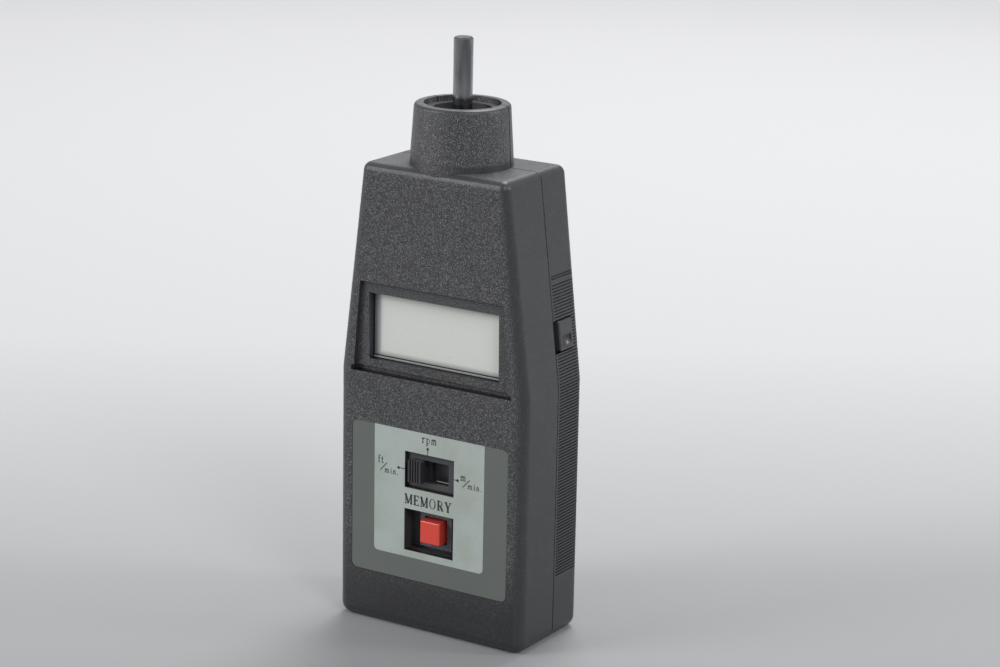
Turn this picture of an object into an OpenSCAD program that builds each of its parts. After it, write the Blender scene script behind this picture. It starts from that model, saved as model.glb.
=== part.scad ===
// Contact tachometer: a handheld meter with a driven shaft at its top, standing on its base.
// X runs across the face, the face looks toward -Y and Z is up. The origin is at the bottom centre.

/* [Housing] */
// Width of the lower body
body_w = 72; // [66:0.5:84]
// Depth of the body from face to back
body_d = 37; // [36.5:0.5:42]
// Height of the body to its shoulder
body_h = 156; // [154:1:170]
// Height at which the sides start to taper
waist_h = 86.25; // [84:0.25:88]
// Width of the body at its shoulder
top_w = 54.9; // [53:0.1:60]
// Depth of the rear moulding, from the seam to the back
rear_d = 16.5; // [16.2:0.1:17]
// Wall thickness of both mouldings
wall = 2.2; // [1.8:0.1:2.5]
// Edge radius of the body
corner_r = 4; // [3:0.1:4.2]
// Edge radius of the shoulder
shoulder_r = 3; // [2:0.1:3.5]
// Height of the shadow line at the seam
seam_w = 0.4; // [0.2:0.05:0.6]
// Depth of the shadow line at the seam
seam_depth = 0.5; // [0.2:0.05:0.8]

/* [Collar] */
// Distance from the face to the collar's root
collar_inset = 0.2; // [0.1:0.1:0.8]
// Narrowing of the collar from its root to its rim
collar_draft = 1.2; // [0.4:0.1:1.6]
// Height of the collar above the shoulder
collar_h = 19.9; // [18:0.1:24]
// Wall thickness of the collar at its rim
collar_wall = 3.1; // [2.8:0.1:3.4]
// Rounding of the collar's rim
rim_round = 1.3; // [0.6:0.1:1.5]
// Distance of the shaft's axis in front of the middle of the body
axis_forward = 1.5; // [1:0.1:1.6]

/* [Grip ribs] */
// Pitch of the grip ribs
rib_pitch = 1.036; // [1:0.004:1.4]
// Height of the groove between two ribs
rib_gap = 0.45; // [0.3:0.05:0.6]
// Depth of the grooves
rib_depth = 0.45; // [0.2:0.05:0.6]
// Height of the lowest groove
rib_low_z = 21.3; // [18:0.1:30]
// Height of the highest groove of the even row
rib_high_z = 119.2; // [112:0.1:120]
// Rise from the even row to the pair of grooves above it
rib_pair_rise = 2.1; // [1.5:0.1:3]
// Smooth strip between the seam and the ribs
rib_margin = 1.2; // [0.8:0.1:2]

/* [Display window] */
// Strip between the window and each side of the body, at the facet's top
window_margin = 7.28; // [7:0.01:9]
// Height of the window
window_h = 22.4; // [20:0.1:22.6]
// Height of the window's lower edge
window_z = 90.3; // [90:0.1:91]
// Strip between the facet's top and each side of the body
facet_top_margin = 4.68; // [4.4:0.01:5.4]
// Strip between the facet's bottom and each side of the body
facet_low_margin = 5.9; // [5.5:0.1:6.5]
// Facet above the window
facet_rise = 3.9; // [2:0.1:4.5]
// Depth of the facet at its top
facet_top_depth = 1.4; // [1:0.05:1.8]
// Depth of the facet at its bottom
facet_low_depth = 2.05; // [1.9:0.05:2.4]
// Strip between the groove under the facet and each side of the body
groove_margin = 4.95; // [4.5:0.05:5.4]
// Height of the groove under the facet
groove_h = 1.55; // [1:0.05:1.6]
// Depth of the groove under the facet
groove_depth = 3.2; // [2.6:0.1:3.4]
// Depth of the display glass behind the face
glass_d = 4.6; // [4.5:0.1:5]
// Thickness of the display glass
glass_t = 2.8; // [2.2:0.1:3]
// Overlap of the glass behind each edge of the window
glass_lap = 2; // [1.5:0.1:2.2]

/* [Face label] */
// Strip between the label and each side of the body
label_margin = 5.7; // [5:0.1:8]
// Height of the label
label_h = 51.4; // [49:0.1:53]
// Height of the label's lower edge
label_z = 17.8; // [16:0.1:18]
// Corner radius of the label
label_r = 2; // [1:0.1:3]
// Thickness of the label
label_t = 0.35; // [0.2:0.05:0.4]
// Depth of the label's pocket
pocket_depth = 0.45; // [0.4:0.05:0.6]

/* [Function switch] */
// Width of both openings in the label
opening_w = 19.2; // [19:0.1:20]
// Offset of both openings from the middle
opening_x = 0.2; // [0:0.05:0.5]
// Height of the switch opening
switch_opening_h = 12.3; // [12:0.1:13]
// Height of the middle of the switch opening
switch_z = 55.75; // [54:0.05:56]
// Depth of the switch frame behind the face
switch_frame_d = 1.6; // [1.5:0.1:1.9]
// Length of the slot
slot_w = 13.2; // [12.5:0.1:13.4]
// Height of the slot
slot_h = 7.6; // [7:0.1:8]
// Width of the knob's grip
knob_w = 5; // [4.4:0.1:5.2]
// Height of the knob's grip
knob_h = 7.4; // [6.8:0.1:8]
// Width of the stem under the grip
stem_w = 2.6; // [2.2:0.1:3]
// Height of the knob's grip above the face
knob_proud = 1.2; // [1:0.1:1.5]

/* [Memory button] */
// Height of the memory opening
memory_opening_h = 14.4; // [14:0.1:15]
// Height of the middle of the memory opening
memory_z = 35.1; // [34:0.1:36]
// Depth of the well's floor behind the face
well_d = 6; // [5.6:0.1:6.2]
// Side of the square cap
cap_w = 7.75; // [7:0.05:8]
// Depth of the cap's front behind the face
cap_sunk = 0.7; // [0.4:0.1:1.5]
// Travel of the memory button
memory_travel = 1.8; // [1:0.1:2]

/* [Measuring button] */
// Strip between the seam and the button's pocket
pocket_margin = 0.3; // [0.2:0.05:0.7]
// Width of the button's pocket
pocket_w = 10.7; // [10.5:0.1:11]
// Height of the button's pocket
pocket_h = 10.8; // [10.4:0.1:11.4]
// Height of the middle of the button's pocket
measure_z = 102.4; // [100:0.1:104]
// Depth of the pocket's floor
pocket_floor = 2; // [1.4:0.1:2.2]
// Width of the button
measure_w = 8.1; // [7.6:0.1:8.3]
// Height of the button
measure_h = 9.9; // [9.2:0.1:10]
// Height of the button above the side wall
measure_proud = 0.5; // [0.2:0.1:0.8]
// Travel of the measuring button
measure_travel = 1.2; // [0.6:0.1:1.3]

/* [Drive shaft] */
// Radius of the shaft
shaft_r = 3.175; // [3:0.025:3.3]
// Height of the shaft's free end above the collar's rim
shaft_out = 21.1; // [18:0.1:30]
// Chamfer of the shaft's ends
shaft_chamfer = 0.5; // [0.2:0.1:0.8]
// Wall of the bearing holder round the ball bearings
holder_wall = 2.975; // [2.8:0.025:3.5]
// Width of the ball bearings
bearing_w = 7.14; // [6:0.01:7.2]
// Depth of the bearing holder's top below the collar's rim
holder_sunk = 1.7; // [1:0.1:2]
// Depth of the upper bearing below the holder's top
bearing_sunk = 5; // [4:0.1:6]
// Distance between the two bearings
bearing_span = 19; // [16:0.1:20]
// Distance from the face to the rim of the light chopper disc
disc_margin = 3; // [2.8:0.1:3.6]
// Thickness of the disc
disc_t = 0.5; // [0.4:0.05:0.8]
// Number of slots in the disc
disc_slots = 60; // [30:1:60]

/* [Circuit board] */
// Depth of the board's front behind the face
board_d = 10.4; // [10.3:0.1:10.8]
// Thickness of the board
board_t = 1.6; // [1.2:0.1:1.6]
// Distance from the board to each side of the body
board_margin = 8; // [7.5:0.1:9]
// Height of the board's lower edge
board_low_z = 22; // [20:0.5:24]
// Height of the board's upper edge between its arms
board_top_z = 118; // [117.5:0.5:119]

/* [Batteries] */
// Room for the contacts at each end of the cells
contact_room = 2.5; // [2.4:0.1:3.4]
// Strip between the battery cover and each side of the body
cover_margin = 5.3; // [5:0.1:5.5]
// Height of the battery cover
cover_h = 60; // [59.6:0.1:61]
// Height of the battery cover's lower edge
cover_z = 10; // [9.8:0.1:10.4]
// Thickness of the battery cover
cover_t = 1.9; // [1.6:0.1:2]

/* [Hidden] */
$fn = 64;

// Overrun of every cut past the surface it opens
cut = 1;
// Facets of a hull's own round pieces
hull_fn = 32;
// Gap between fixed pieces that must not bind
fit = 0.1;
// Gap between a moving piece and the wall beside it
play = 0.2;

// Places of the face and the back, with the switch knob as the foremost point of the object
front_y = (knob_proud - body_d) / 2;
back_y = front_y + body_d;
split_d = body_d - rear_d;
axis_d = body_d / 2 - axis_forward;
axis_y = front_y + axis_d;
taper = atan((body_w - top_w) / 2 / (body_h - waist_h));
rim_z = body_h + collar_h;
shaft_top_z = rim_z + shaft_out;
holder_top_z = rim_z - holder_sunk;
collar_base_r = axis_d - collar_inset;
collar_rim_r = collar_base_r - collar_draft;
collar_bore_r = collar_rim_r - collar_wall;
facet_top_z = window_z + window_h + facet_rise;
window_w = 2 * (half_w(facet_top_z) - window_margin);
facet_top_w = 2 * (half_w(facet_top_z) - facet_top_margin);
facet_low_w = body_w - 2 * facet_low_margin;
groove_w = body_w - 2 * groove_margin;
label_w = body_w - 2 * label_margin;
board_w = body_w - 2 * board_margin;
cover_w = body_w - 2 * cover_margin;
glass_z = window_z + window_h / 2;
glass_w = window_w + 2 * glass_lap;
glass_h = window_h + 2 * glass_lap;

// Half of the body's width at a height
function half_w(z) = z < waist_h ? body_w / 2 : body_w / 2 - (z - waist_h) * tan(taper);

// Battery compartment, and the room between its floor and the board
cell_count = 4;
bay_wall = 1.5;
well_wall = 1.2;
bay_w = cover_w - 2 * bay_wall;
cell_pitch = bay_w / cell_count;
cell_r = cell_pitch / 2 - play;
bay_low_z = cover_z + 2 * well_wall;
bay_high_z = cover_z + cover_h - 2 * well_wall;
cover_d = body_d - cover_t;
bay_floor_d = cover_d - 2 * cell_r - 3 * play;
board_back_d = board_d + board_t;
board_gap = bay_floor_d - bay_wall - board_back_d;

// A box between two places across, two depths behind the face and two heights
module block(x0, x1, d0, d1, z0, z1) {
    translate([x0, front_y + d0, z0]) cube([x1 - x0, d1 - d0, z1 - z0]);
}

// A box centred on a place across and a height, between two depths
module plate(x, z, w, h, d0, d1) {
    block(x - w / 2, x + w / 2, d0, d1, z - h / 2, z + h / 2);
}

// A round bar along the depth
module bar(x, z, r, d0, d1, r2 = undef) {
    translate([x, front_y + d0, z]) rotate([-90, 0, 0])
        cylinder(h = d1 - d0, r1 = r, r2 = r2 == undef ? r : r2);
}

// Children drawn in X and Z, extruded between two depths
module extrude_depth(d0, d1) {
    translate([0, front_y + d1, 0]) rotate([90, 0, 0]) linear_extrude(d1 - d0) children();
}

// Front outline of the body, moved in by an inset
module body_outline(inset) {
    top = body_h - inset;
    polygon([
        [-(body_w / 2 - inset), inset], [body_w / 2 - inset, inset],
        [body_w / 2 - inset, waist_h], [half_w(top) - inset, top],
        [-(half_w(top) - inset), top], [-(body_w / 2 - inset), waist_h]
    ]);
}

// Outline of the label or its pocket with round corners, made of two bars and four discs
module label_outline(grow) {
    w = label_w / 2 + grow;
    low = label_z - grow;
    high = label_z + label_h + grow;
    r = label_r + grow;
    polygon([[-w, low + r], [w, low + r], [w, high - r], [-w, high - r]]);
    polygon([[-w + r, low], [w - r, low], [w - r, high], [-w + r, high]]);
    for (x = [-w + r, w - r])
        for (z = [low + r, high - r])
            translate([x, z]) circle(r);
}

// A ball for the round edges, drawn with the facets of a hull
module ball(r) {
    sphere(r, $fn = hull_fn);
}

// Half of a ball: its pole points up or down, and its rim is one ring of points
module half_ball(r, pole) {
    steps = hull_fn / 4;
    rotate_extrude($fn = hull_fn)
        polygon(concat([[0, 0]],
            [for (i = [0:steps]) let (a = 90 * i / steps) [r * cos(a), pole * r * sin(a)]]));
}

// Outer form of the body with all its edges rounded
module body_form() {
    shoulder_z = body_h - shoulder_r;
    hull()
        for (side = [-1, 1]) {
            for (d = [corner_r, body_d - corner_r])
                translate([side * (body_w / 2 - corner_r), front_y + d, 0]) {
                    translate([0, 0, corner_r]) half_ball(corner_r, -1);
                    translate([0, 0, waist_h])
                        cylinder(h = corner_r / 2, r1 = corner_r, r2 = corner_r / 2, $fn = hull_fn);
                }
            for (d = [shoulder_r, body_d - shoulder_r])
                translate([side * (half_w(shoulder_z) - shoulder_r), front_y + d, shoulder_z])
                    half_ball(shoulder_r, 1);
        }
}

// Outer form of the collar, turned about the shaft's axis
module collar_form() {
    root_z = body_h - shoulder_r / 2;
    steps = 6;
    translate([0, axis_y, 0]) rotate_extrude($fn = 96)
        polygon(concat(
            [[0, root_z], [collar_base_r, root_z], [collar_base_r, body_h]],
            [for (i = [0:steps]) let (a = 90 * i / steps)
                [collar_rim_r - rim_round * (1 - cos(a)), rim_z - rim_round * (1 - sin(a))]],
            [[0, rim_z]]
        ));
}

// Everything on one side of the seam
module half_space(front) {
    side = body_w;
    if (front) block(-side, side, -side, split_d, -side, rim_z + side);
    else block(-side, side, split_d, body_d + side, -side, rim_z + side);
}

// Hollow between the walls, between two depths
module cavity(d0, d1) {
    extrude_depth(d0, d1) body_outline(wall);
}

// Bore of the collar and of the top wall under it
module collar_bore() {
    translate([0, axis_y, body_h - wall - cut])
        cylinder(h = collar_h + wall + 2 * cut, r = collar_bore_r, $fn = 96);
}

// Bearing holder and shaft: heights down the axis
upper_bearing_z = holder_top_z - bearing_sunk - bearing_w;
lower_bearing_z = upper_bearing_z - bearing_span - bearing_w;
holder_low_z = lower_bearing_z;
flange_t = 2;
flange_r = collar_bore_r + flange_t;
clip_t = 1;
bearing_r = collar_bore_r - holder_wall;
disc_r = axis_d - disc_margin;
clip_z = lower_bearing_z - clip_t;
hub_r = 6;
hub_t = 3;
disc_z = clip_z - hub_t - disc_t;
shaft_low_z = disc_z - hub_t - 2 * clip_t;
inner_ring_r = shaft_r + 0.34 * (bearing_r - shaft_r);
ring_gap = 0.3;
clip_groove = 0.4;
clip_r = (shaft_r + inner_ring_r) / 2;
upper_clip_z = upper_bearing_z + bearing_w;
saddle_t = 2;
saddle_z = holder_low_z + saddle_t;

// Semicircular seat for the bearing holder, on the inner side of each moulding
module saddle(d0, d1) {
    w = collar_bore_r + 2 * saddle_t;
    difference() {
        block(-w, w, d0, d1, saddle_z, saddle_z + saddle_t);
        translate([0, axis_y, saddle_z - cut])
            cylinder(h = saddle_t + 2 * cut, r = collar_bore_r, $fn = 96);
    }
}

// Housing screws: places across, heights and sizes
screw_r = 1.25;
screw_head_r = 2.5;
screw_head_t = 1.8;
screw_len = 12;
screw_seat = 4;
boss_r = 3.2;
rear_boss_r = 4;
counterbore_r = screw_head_r + 2 * play;
screw_margin = 10;
screw_base = 6.5;
screw_side = 8.7;
screw_low = [body_w / 2 - screw_margin, screw_base];
screw_high = [half_w(body_h - screw_margin) - screw_side, body_h - screw_margin];
screw_places = [
    [-screw_low[0], screw_low[1]], screw_low, [-screw_high[0], screw_high[1]], screw_high
];

// Board posts and screws
post_r = 2.6;
board_screw_r = 0.9;
board_head_r = 1.9;
board_head_t = 0.18 * board_gap;
board_screw_len = 5;
post_x = board_w / 2 - post_r;
post_low_z = board_low_z + 1.2 * post_r;
post_high_z = waist_h - groove_h - post_r;
post_places = [
    [-post_x, post_low_z], [post_x, post_low_z], [-post_x, post_high_z], [post_x, post_high_z]
];

// Surround behind the window, and the walls round the two openings
surround_margin = 1.2;
groove_top_z = waist_h + groove_h * 0.9;
groove_z = groove_top_z - groove_h;

module front_housing() {
    color([0.21, 0.21, 0.22]) difference() {
        union() {
            difference() {
                intersection() {
                    body_form();
                    half_space(true);
                }
                cavity(wall, split_d + cut);
            }
            intersection() {
                collar_form();
                half_space(true);
            }
            window_surround();
            plate(opening_x, switch_z, opening_w + 2 * well_wall, switch_opening_h + 2 * well_wall,
                wall / 2, switch_shoulder_d);
            for (p = screw_places) bar(p[0], p[1], boss_r, wall / 2, split_d);
            for (p = post_places) bar(p[0], p[1], post_r, wall / 2, board_d);
            saddle(wall / 2, split_d);
        }
        collar_bore();
        plate(0, glass_z, window_w, window_h, -cut, glass_d + cut);
        window_facet();
        block(-groove_w / 2, groove_w / 2, -cut, groove_depth, groove_z, groove_top_z);
        extrude_depth(-cut, pocket_depth) label_outline(fit);
        plate(opening_x, switch_z, opening_w, switch_opening_h, -cut, split_d);
        plate(opening_x, memory_z, opening_w, memory_opening_h, -cut, split_d);
        for (p = screw_places)
            bar(p[0], p[1], screw_r, split_d + screw_seat - screw_len, split_d + cut);
        for (p = post_places) bar(p[0], p[1], board_screw_r, board_d - board_screw_len, board_d + cut);
    }
}

// Thick frame behind the window, which the facet and its groove are cut into
module window_surround() {
    intersection() {
        block(-groove_w / 2 - surround_margin, groove_w / 2 + surround_margin, wall / 2, glass_d,
            groove_z - surround_margin, facet_top_z + surround_margin);
        extrude_depth(0, split_d) body_outline(wall / 2);
    }
}

// Sunk facet round the window: it deepens downward and narrows upward with the body
module window_facet() {
    intersection() {
        translate([-body_w / 2, front_y, 0]) rotate([90, 0, 90]) linear_extrude(body_w)
            polygon([
                [-cut, groove_z], [facet_low_depth, groove_z],
                [facet_top_depth, facet_top_z], [-cut, facet_top_z]
            ]);
        extrude_depth(-cut, 2 * facet_low_depth)
            polygon([
                [-facet_low_w / 2, groove_z], [facet_low_w / 2, groove_z],
                [facet_top_w / 2, facet_top_z], [-facet_top_w / 2, facet_top_z]
            ]);
    }
}

// Ribs: the horizontal grooves cut into one side of the rear moulding
rib_count = floor((rib_high_z - rib_low_z) / rib_pitch) + 1;
rib_pair_gap = 0.8 * rib_pitch;
rib_heights = concat(
    [for (i = [0:rib_count - 1]) rib_high_z - i * rib_pitch],
    [rib_high_z + rib_pair_rise, rib_high_z + rib_pair_rise + rib_pair_gap]
);

module rib_grooves(side) {
    far = body_w / 2 + cut;
    extrude_depth(split_d + rib_margin, body_d + cut)
        for (z = rib_heights) {
            low = z - rib_gap / 2;
            high = z + rib_gap / 2;
            polygon([
                [side * (half_w(low) - rib_depth), low], [side * far, low],
                [side * far, high], [side * (half_w(high) - rib_depth), high]
            ]);
        }
}

// Shadow line: the rear moulding's edge stands back a little along the seam
module seam_step() {
    split_off = split_d - axis_d;
    base_x = sqrt(collar_base_r * collar_base_r - split_off * split_off) - seam_depth;
    rim_x = sqrt(collar_rim_r * collar_rim_r - split_off * split_off) - seam_depth;
    extrude_depth(split_d - cut, split_d + seam_w) difference() {
        polygon([
            [-body_w, -body_w], [body_w, -body_w],
            [body_w, rim_z + body_w], [-body_w, rim_z + body_w]
        ]);
        body_outline(seam_depth);
        polygon([
            [-base_x, body_h - wall], [base_x, body_h - wall], [base_x, body_h],
            [rim_x, rim_z - seam_depth], [-rim_x, rim_z - seam_depth], [-base_x, body_h]
        ]);
    }
}

// Measuring button: its own frame, with X out of the tapered side wall and the origin on it
pocket_front_d = split_d + pocket_margin;
measure_d = pocket_front_d + pocket_w - fit - measure_w / 2;
pocket_mid_d = pocket_front_d + pocket_w / 2;
pad_t = 1.8;
pad_depth = pocket_floor + pad_t;
button_flange_t = 1;
button_flange = 0.8;
button_boss_r = 1.5;
button_boss_len = 1.5;
flange_top = -(pad_depth + play);
boss_top = flange_top - button_flange_t;
boss_end = boss_top - button_boss_len;
actuator_r = 1.7;
actuator_top = boss_end - measure_travel - fit - 2 * actuator_r * sin(taper);
actuator_len = 0.8;
tact_w = 6;
tact_t = 3.4;

module side_frame(d) {
    translate([half_w(measure_z), front_y + d, measure_z]) rotate([0, -taper, 0]) children();
}

module side_box(x0, x1, w, h, z = 0) {
    translate([x0, -w / 2, z - h / 2]) cube([x1 - x0, w, h]);
}

// Battery cover and the frame round it
frame_t = 1.6;
frame_lip = 1.8;
tongue_w = 6;
tongue_t = 1.6;
tongue_drop = 2.6;
tongue_x = 15;
tongue_gap_d = wall + play - cover_t;
cover_tilt = 35;

module rear_housing() {
    color([0.2, 0.2, 0.21]) difference() {
        union() {
            difference() {
                intersection() {
                    body_form();
                    half_space(false);
                }
                cavity(split_d - cut, body_d - wall);
                rib_grooves(-1);
                rib_grooves(1);
            }
            intersection() {
                collar_form();
                half_space(false);
            }
            for (p = screw_places) bar(p[0], p[1], rear_boss_r, split_d, body_d - wall / 2);
            saddle(split_d, body_d - wall / 2);
            block(-bay_w / 2 - bay_wall, bay_w / 2 + bay_wall, bay_floor_d - bay_wall, cover_d,
                bay_low_z - bay_wall, bay_high_z + bay_wall);
            block(-cover_w / 2 - frame_lip, cover_w / 2 + frame_lip, cover_d - frame_t, body_d - wall / 2,
                cover_z - frame_lip, cover_z + cover_h + frame_lip);
            side_frame(pocket_mid_d)
                side_box(-pad_depth, -wall / 2, pocket_w - fit, pocket_h + 2 * wall);
        }
        collar_bore();
        seam_step();
        for (p = screw_places) {
            bar(p[0], p[1], counterbore_r, split_d + screw_seat, body_d + cut);
            bar(p[0], p[1], screw_r + fit, split_d - cut, body_d);
        }
        plate(0, cover_z + cover_h / 2, cover_w + 2 * play, cover_h + 2 * play, cover_d - fit, body_d + cut);
        block(-bay_w / 2, bay_w / 2, bay_floor_d, body_d, bay_low_z, bay_high_z);
        for (side = [-1, 1])
            plate(side * tongue_x, bay_low_z - tongue_drop, tongue_w + 4 * play, 4 * tongue_drop,
                cover_d - wall - tongue_t - 2 * play, cover_d - tongue_gap_d + play);
        for (side = [-1, 1])
            block(side * tongue_x - tongue_w / 2 - 2 * play, side * tongue_x + tongue_w / 2 + 2 * play,
                cover_d - wall - tongue_t, cover_d + cut, cover_z - play, bay_low_z + cut);
        bar(0, cover_z + cover_h, 3 * tongue_t, body_d - wall / 2, body_d + cut);
        side_frame(pocket_mid_d) side_box(-pocket_floor, cut + measure_proud, pocket_w, pocket_h);
        side_frame(measure_d)
            side_box(-pad_depth - cut, cut, measure_w + 2 * play, measure_h + 2 * play);
    }
}

module battery_cover() {
    rib_t = 1.2;
    grip_w = 22;
    grip_pitch = 2.4;
    grip_depth = 0.5;
    latch_w = 10;
    color([0.19, 0.19, 0.2]) difference() {
        union() {
            plate(0, cover_z + cover_h / 2, cover_w, cover_h, cover_d, body_d);
            for (side = [-1, 1]) {
                plate(side * tongue_x, cover_z + tongue_t / 2 + play, tongue_w, tongue_t,
                    cover_d - wall - tongue_t + 2 * play, cover_d + cover_t / 2);
                block(side * tongue_x - tongue_w / 2, side * tongue_x + tongue_w / 2,
                    cover_d - wall - tongue_t + 2 * play, cover_d - tongue_gap_d,
                    cover_z - tongue_drop, cover_z + tongue_t + play);
            }
            block(-latch_w / 2, latch_w / 2, cover_d - tongue_t, cover_d + cover_t / 2,
                bay_high_z - 2 * play - tongue_t, bay_high_z - 2 * play);
            for (i = [1:cell_count - 1])
                plate((i - cell_count / 2) * cell_pitch, cover_z + cover_h / 2, rib_t, cover_h * 0.7,
                    cover_d - rib_t, cover_d + cover_t / 2);
        }
        for (i = [0:4])
            plate(0, cover_z + cover_h - (i + 2) * grip_pitch, grip_w, grip_pitch / 2,
                body_d - grip_depth, body_d + cut);
    }
}

module panel_label() {
    color([0.6, 0.66, 0.65]) difference() {
        extrude_depth(pocket_depth - label_t, pocket_depth) label_outline(0);
        plate(opening_x, switch_z, opening_w, switch_opening_h, -cut, cut);
        plate(opening_x, memory_z, opening_w, memory_opening_h, -cut, cut);
    }
}

module lcd_glass() {
    color([0.76, 0.78, 0.76])
        plate(0, glass_z, glass_w, glass_h, glass_d, glass_d + glass_t);
}

// Frame that presses the glass on its connectors, with the glass let into its front
holder_rim = 2;
connector_t = 2.4;

module lcd_holder() {
    lip = 0.8;
    color([0.12, 0.12, 0.13]) difference() {
        plate(0, glass_z, glass_w + 2 * holder_rim, glass_h + 2 * holder_rim, glass_d, board_d);
        plate(0, glass_z, glass_w, glass_h, glass_d - cut, glass_d + glass_t);
        plate(0, glass_z, glass_w - 2 * lip, glass_h - 2 * lip, glass_d, board_d + cut);
    }
}

module lcd_connector(side) {
    color([0.85, 0.55, 0.65])
        plate(0, glass_z + side * (glass_h / 2 - connector_t), glass_w - 2 * connector_t, connector_t,
            glass_d + glass_t, board_d);
}

module lcd_connector_upper() { lcd_connector(1); }

module lcd_connector_lower() { lcd_connector(-1); }

// Circuit board with an arm on each side of the chopper disc
arm_w = 10;
arm_x = disc_r + 2 * fit;
arm_top_z = disc_z + disc_t + 2 * hub_t;

module main_board() {
    neck = 4;
    color([0.1, 0.35, 0.2]) difference() {
        extrude_depth(board_d, board_back_d)
            polygon([
                [-board_w / 2, board_low_z], [board_w / 2, board_low_z],
                [board_w / 2, board_top_z - neck], [arm_x + arm_w, board_top_z + neck],
                [arm_x + arm_w, arm_top_z], [arm_x, arm_top_z], [arm_x, board_top_z],
                [-arm_x, board_top_z], [-arm_x, arm_top_z], [-arm_x - arm_w, arm_top_z],
                [-arm_x - arm_w, board_top_z + neck], [-board_w / 2, board_top_z - neck]
            ]);
        for (p = post_places) bar(p[0], p[1], board_screw_r + fit, board_d - cut, board_back_d + cut);
    }
}

// A flat chip package with a row of legs along each long side
module chip(x, z, w, h, t, legs) {
    leg_w = 0.5;
    leg_t = t / 5;
    leg_out = 1.6;
    pitch = h / legs;
    color([0.09, 0.09, 0.1]) plate(x, z, w, h, board_back_d + leg_t / 2, board_back_d + t);
    color([0.75, 0.75, 0.76])
        for (i = [0:legs - 1])
            plate(x, z - h / 2 + pitch * (i + 1 / 2), w + 2 * leg_out, leg_w,
                board_back_d, board_back_d + leg_t);
}

chip_x = board_w / 7;

module processor_chip() {
    w = 13;
    h = 18;
    legs = 14;
    chip(-chip_x, switch_z + cap_w, w, h, 0.38 * board_gap, legs);
}

module driver_chip() {
    w = 9;
    h = 15;
    legs = 10;
    chip(-chip_x / 2, glass_z, w, h, 0.32 * board_gap, legs);
}

module crystal_can() {
    can_r = 1.9;
    can_w = 6.4;
    can_h = 0.53 * board_gap;
    color([0.78, 0.78, 0.8]) {
        plate(1.6 * chip_x, switch_z + cap_w, can_w, 2 * can_r, board_back_d, board_back_d + can_h);
        for (side = [-1, 1])
            bar(1.6 * chip_x + side * can_w / 2, switch_z + cap_w, can_r, board_back_d,
                board_back_d + can_h);
    }
}

module supply_capacitor() {
    cap_r = 2.5;
    cap_len = 0.79 * board_gap;
    foot = 0.6;
    color([0.16, 0.18, 0.3]) {
        bar(1.8 * chip_x, memory_z, cap_r, board_back_d + foot, board_back_d + cap_len);
        plate(1.8 * chip_x, memory_z, 2.2 * cap_r, 2.2 * cap_r, board_back_d, board_back_d + foot);
    }
}

// Function switch: a case whose front plate fills the opening, and a carriage that slides in it
switch_shoulder_d = wall + 0.6;
switch_case_margin = 1.4;
slot_plate_t = 2.4;
carriage_t = 2;
carriage_w = 7;
carriage_h = slot_h + 1.4;
slide_travel = slot_w - stem_w - 2 * play;
knob_rest_x = opening_x - slide_travel / 2;
carriage_d = switch_frame_d + slot_plate_t + play;

module slide_switch_body() {
    inner_w = carriage_w + slide_travel + 2 * play;
    inner_h = carriage_h + 2 * play;
    color([0.13, 0.13, 0.14]) difference() {
        union() {
            plate(opening_x, switch_z, opening_w - 2 * fit, switch_opening_h - 2 * fit,
                switch_frame_d, board_d);
            plate(opening_x, switch_z, opening_w + 2 * switch_case_margin,
                switch_opening_h + 2 * switch_case_margin, switch_shoulder_d, board_d);
        }
        plate(opening_x, switch_z, slot_w, slot_h, switch_frame_d - cut, carriage_d);
        plate(opening_x, switch_z, inner_w, inner_h, switch_frame_d + slot_plate_t,
            carriage_d + carriage_t + play);
    }
}

// Knob: a ribbed grip over the frame, a stem through the slot and the carriage behind it
module slide_switch_knob() {
    groove_pitch = knob_w / 5;
    groove_size = groove_pitch / 2;
    color([0.24, 0.24, 0.25]) {
        difference() {
            plate(knob_rest_x, switch_z, knob_w, knob_h, -knob_proud, switch_frame_d - play);
            for (i = [0:3])
                plate(knob_rest_x + (i - 3 / 2) * groove_pitch, switch_z, groove_size, knob_h + cut,
                    -knob_proud - cut, -knob_proud + groove_size);
        }
        plate(knob_rest_x, switch_z, stem_w, slot_h - 2 * play, switch_frame_d - 2 * play, carriage_d);
        plate(knob_rest_x, switch_z, carriage_w, carriage_h, carriage_d, carriage_d + carriage_t);
    }
}

// Memory button: the tray that makes the well, the switch case behind it and the square cap
bezel_t = 1;
memory_case_w = 12.4;
cap_tail = 0.8;
cap_len = well_d - cap_sunk + bezel_t / 2;
plunger_w = 4;
plunger_len = 1.2;

module memory_bezel() {
    color([0.14, 0.14, 0.15]) difference() {
        plate(opening_x, memory_z, opening_w + 2 * well_wall, memory_opening_h + 2 * well_wall,
            wall, well_d + bezel_t);
        plate(opening_x, memory_z, opening_w, memory_opening_h, wall - cut, well_d);
        plate(opening_x, memory_z, cap_w + 2 * play, cap_w + 2 * play, well_d - cut, well_d + bezel_t + cut);
    }
}

module memory_switch_body() {
    color([0.16, 0.16, 0.17]) difference() {
        plate(opening_x, memory_z, memory_case_w, memory_case_w, well_d + bezel_t, board_d);
        plate(opening_x, memory_z, cap_w + 2 * play, cap_w + 2 * play, well_d,
            cap_sunk + cap_len + plunger_len + memory_travel + fit);
    }
}

module memory_button() {
    edge = 0.5;
    inner = cap_w - 2 * edge;
    back = cap_sunk + cap_len;
    color([0.82, 0.22, 0.18]) {
        extrude_cap(edge, back);
        plate(opening_x, memory_z, plunger_w, plunger_w, back - cap_tail, back + plunger_len);
    }
}

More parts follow.
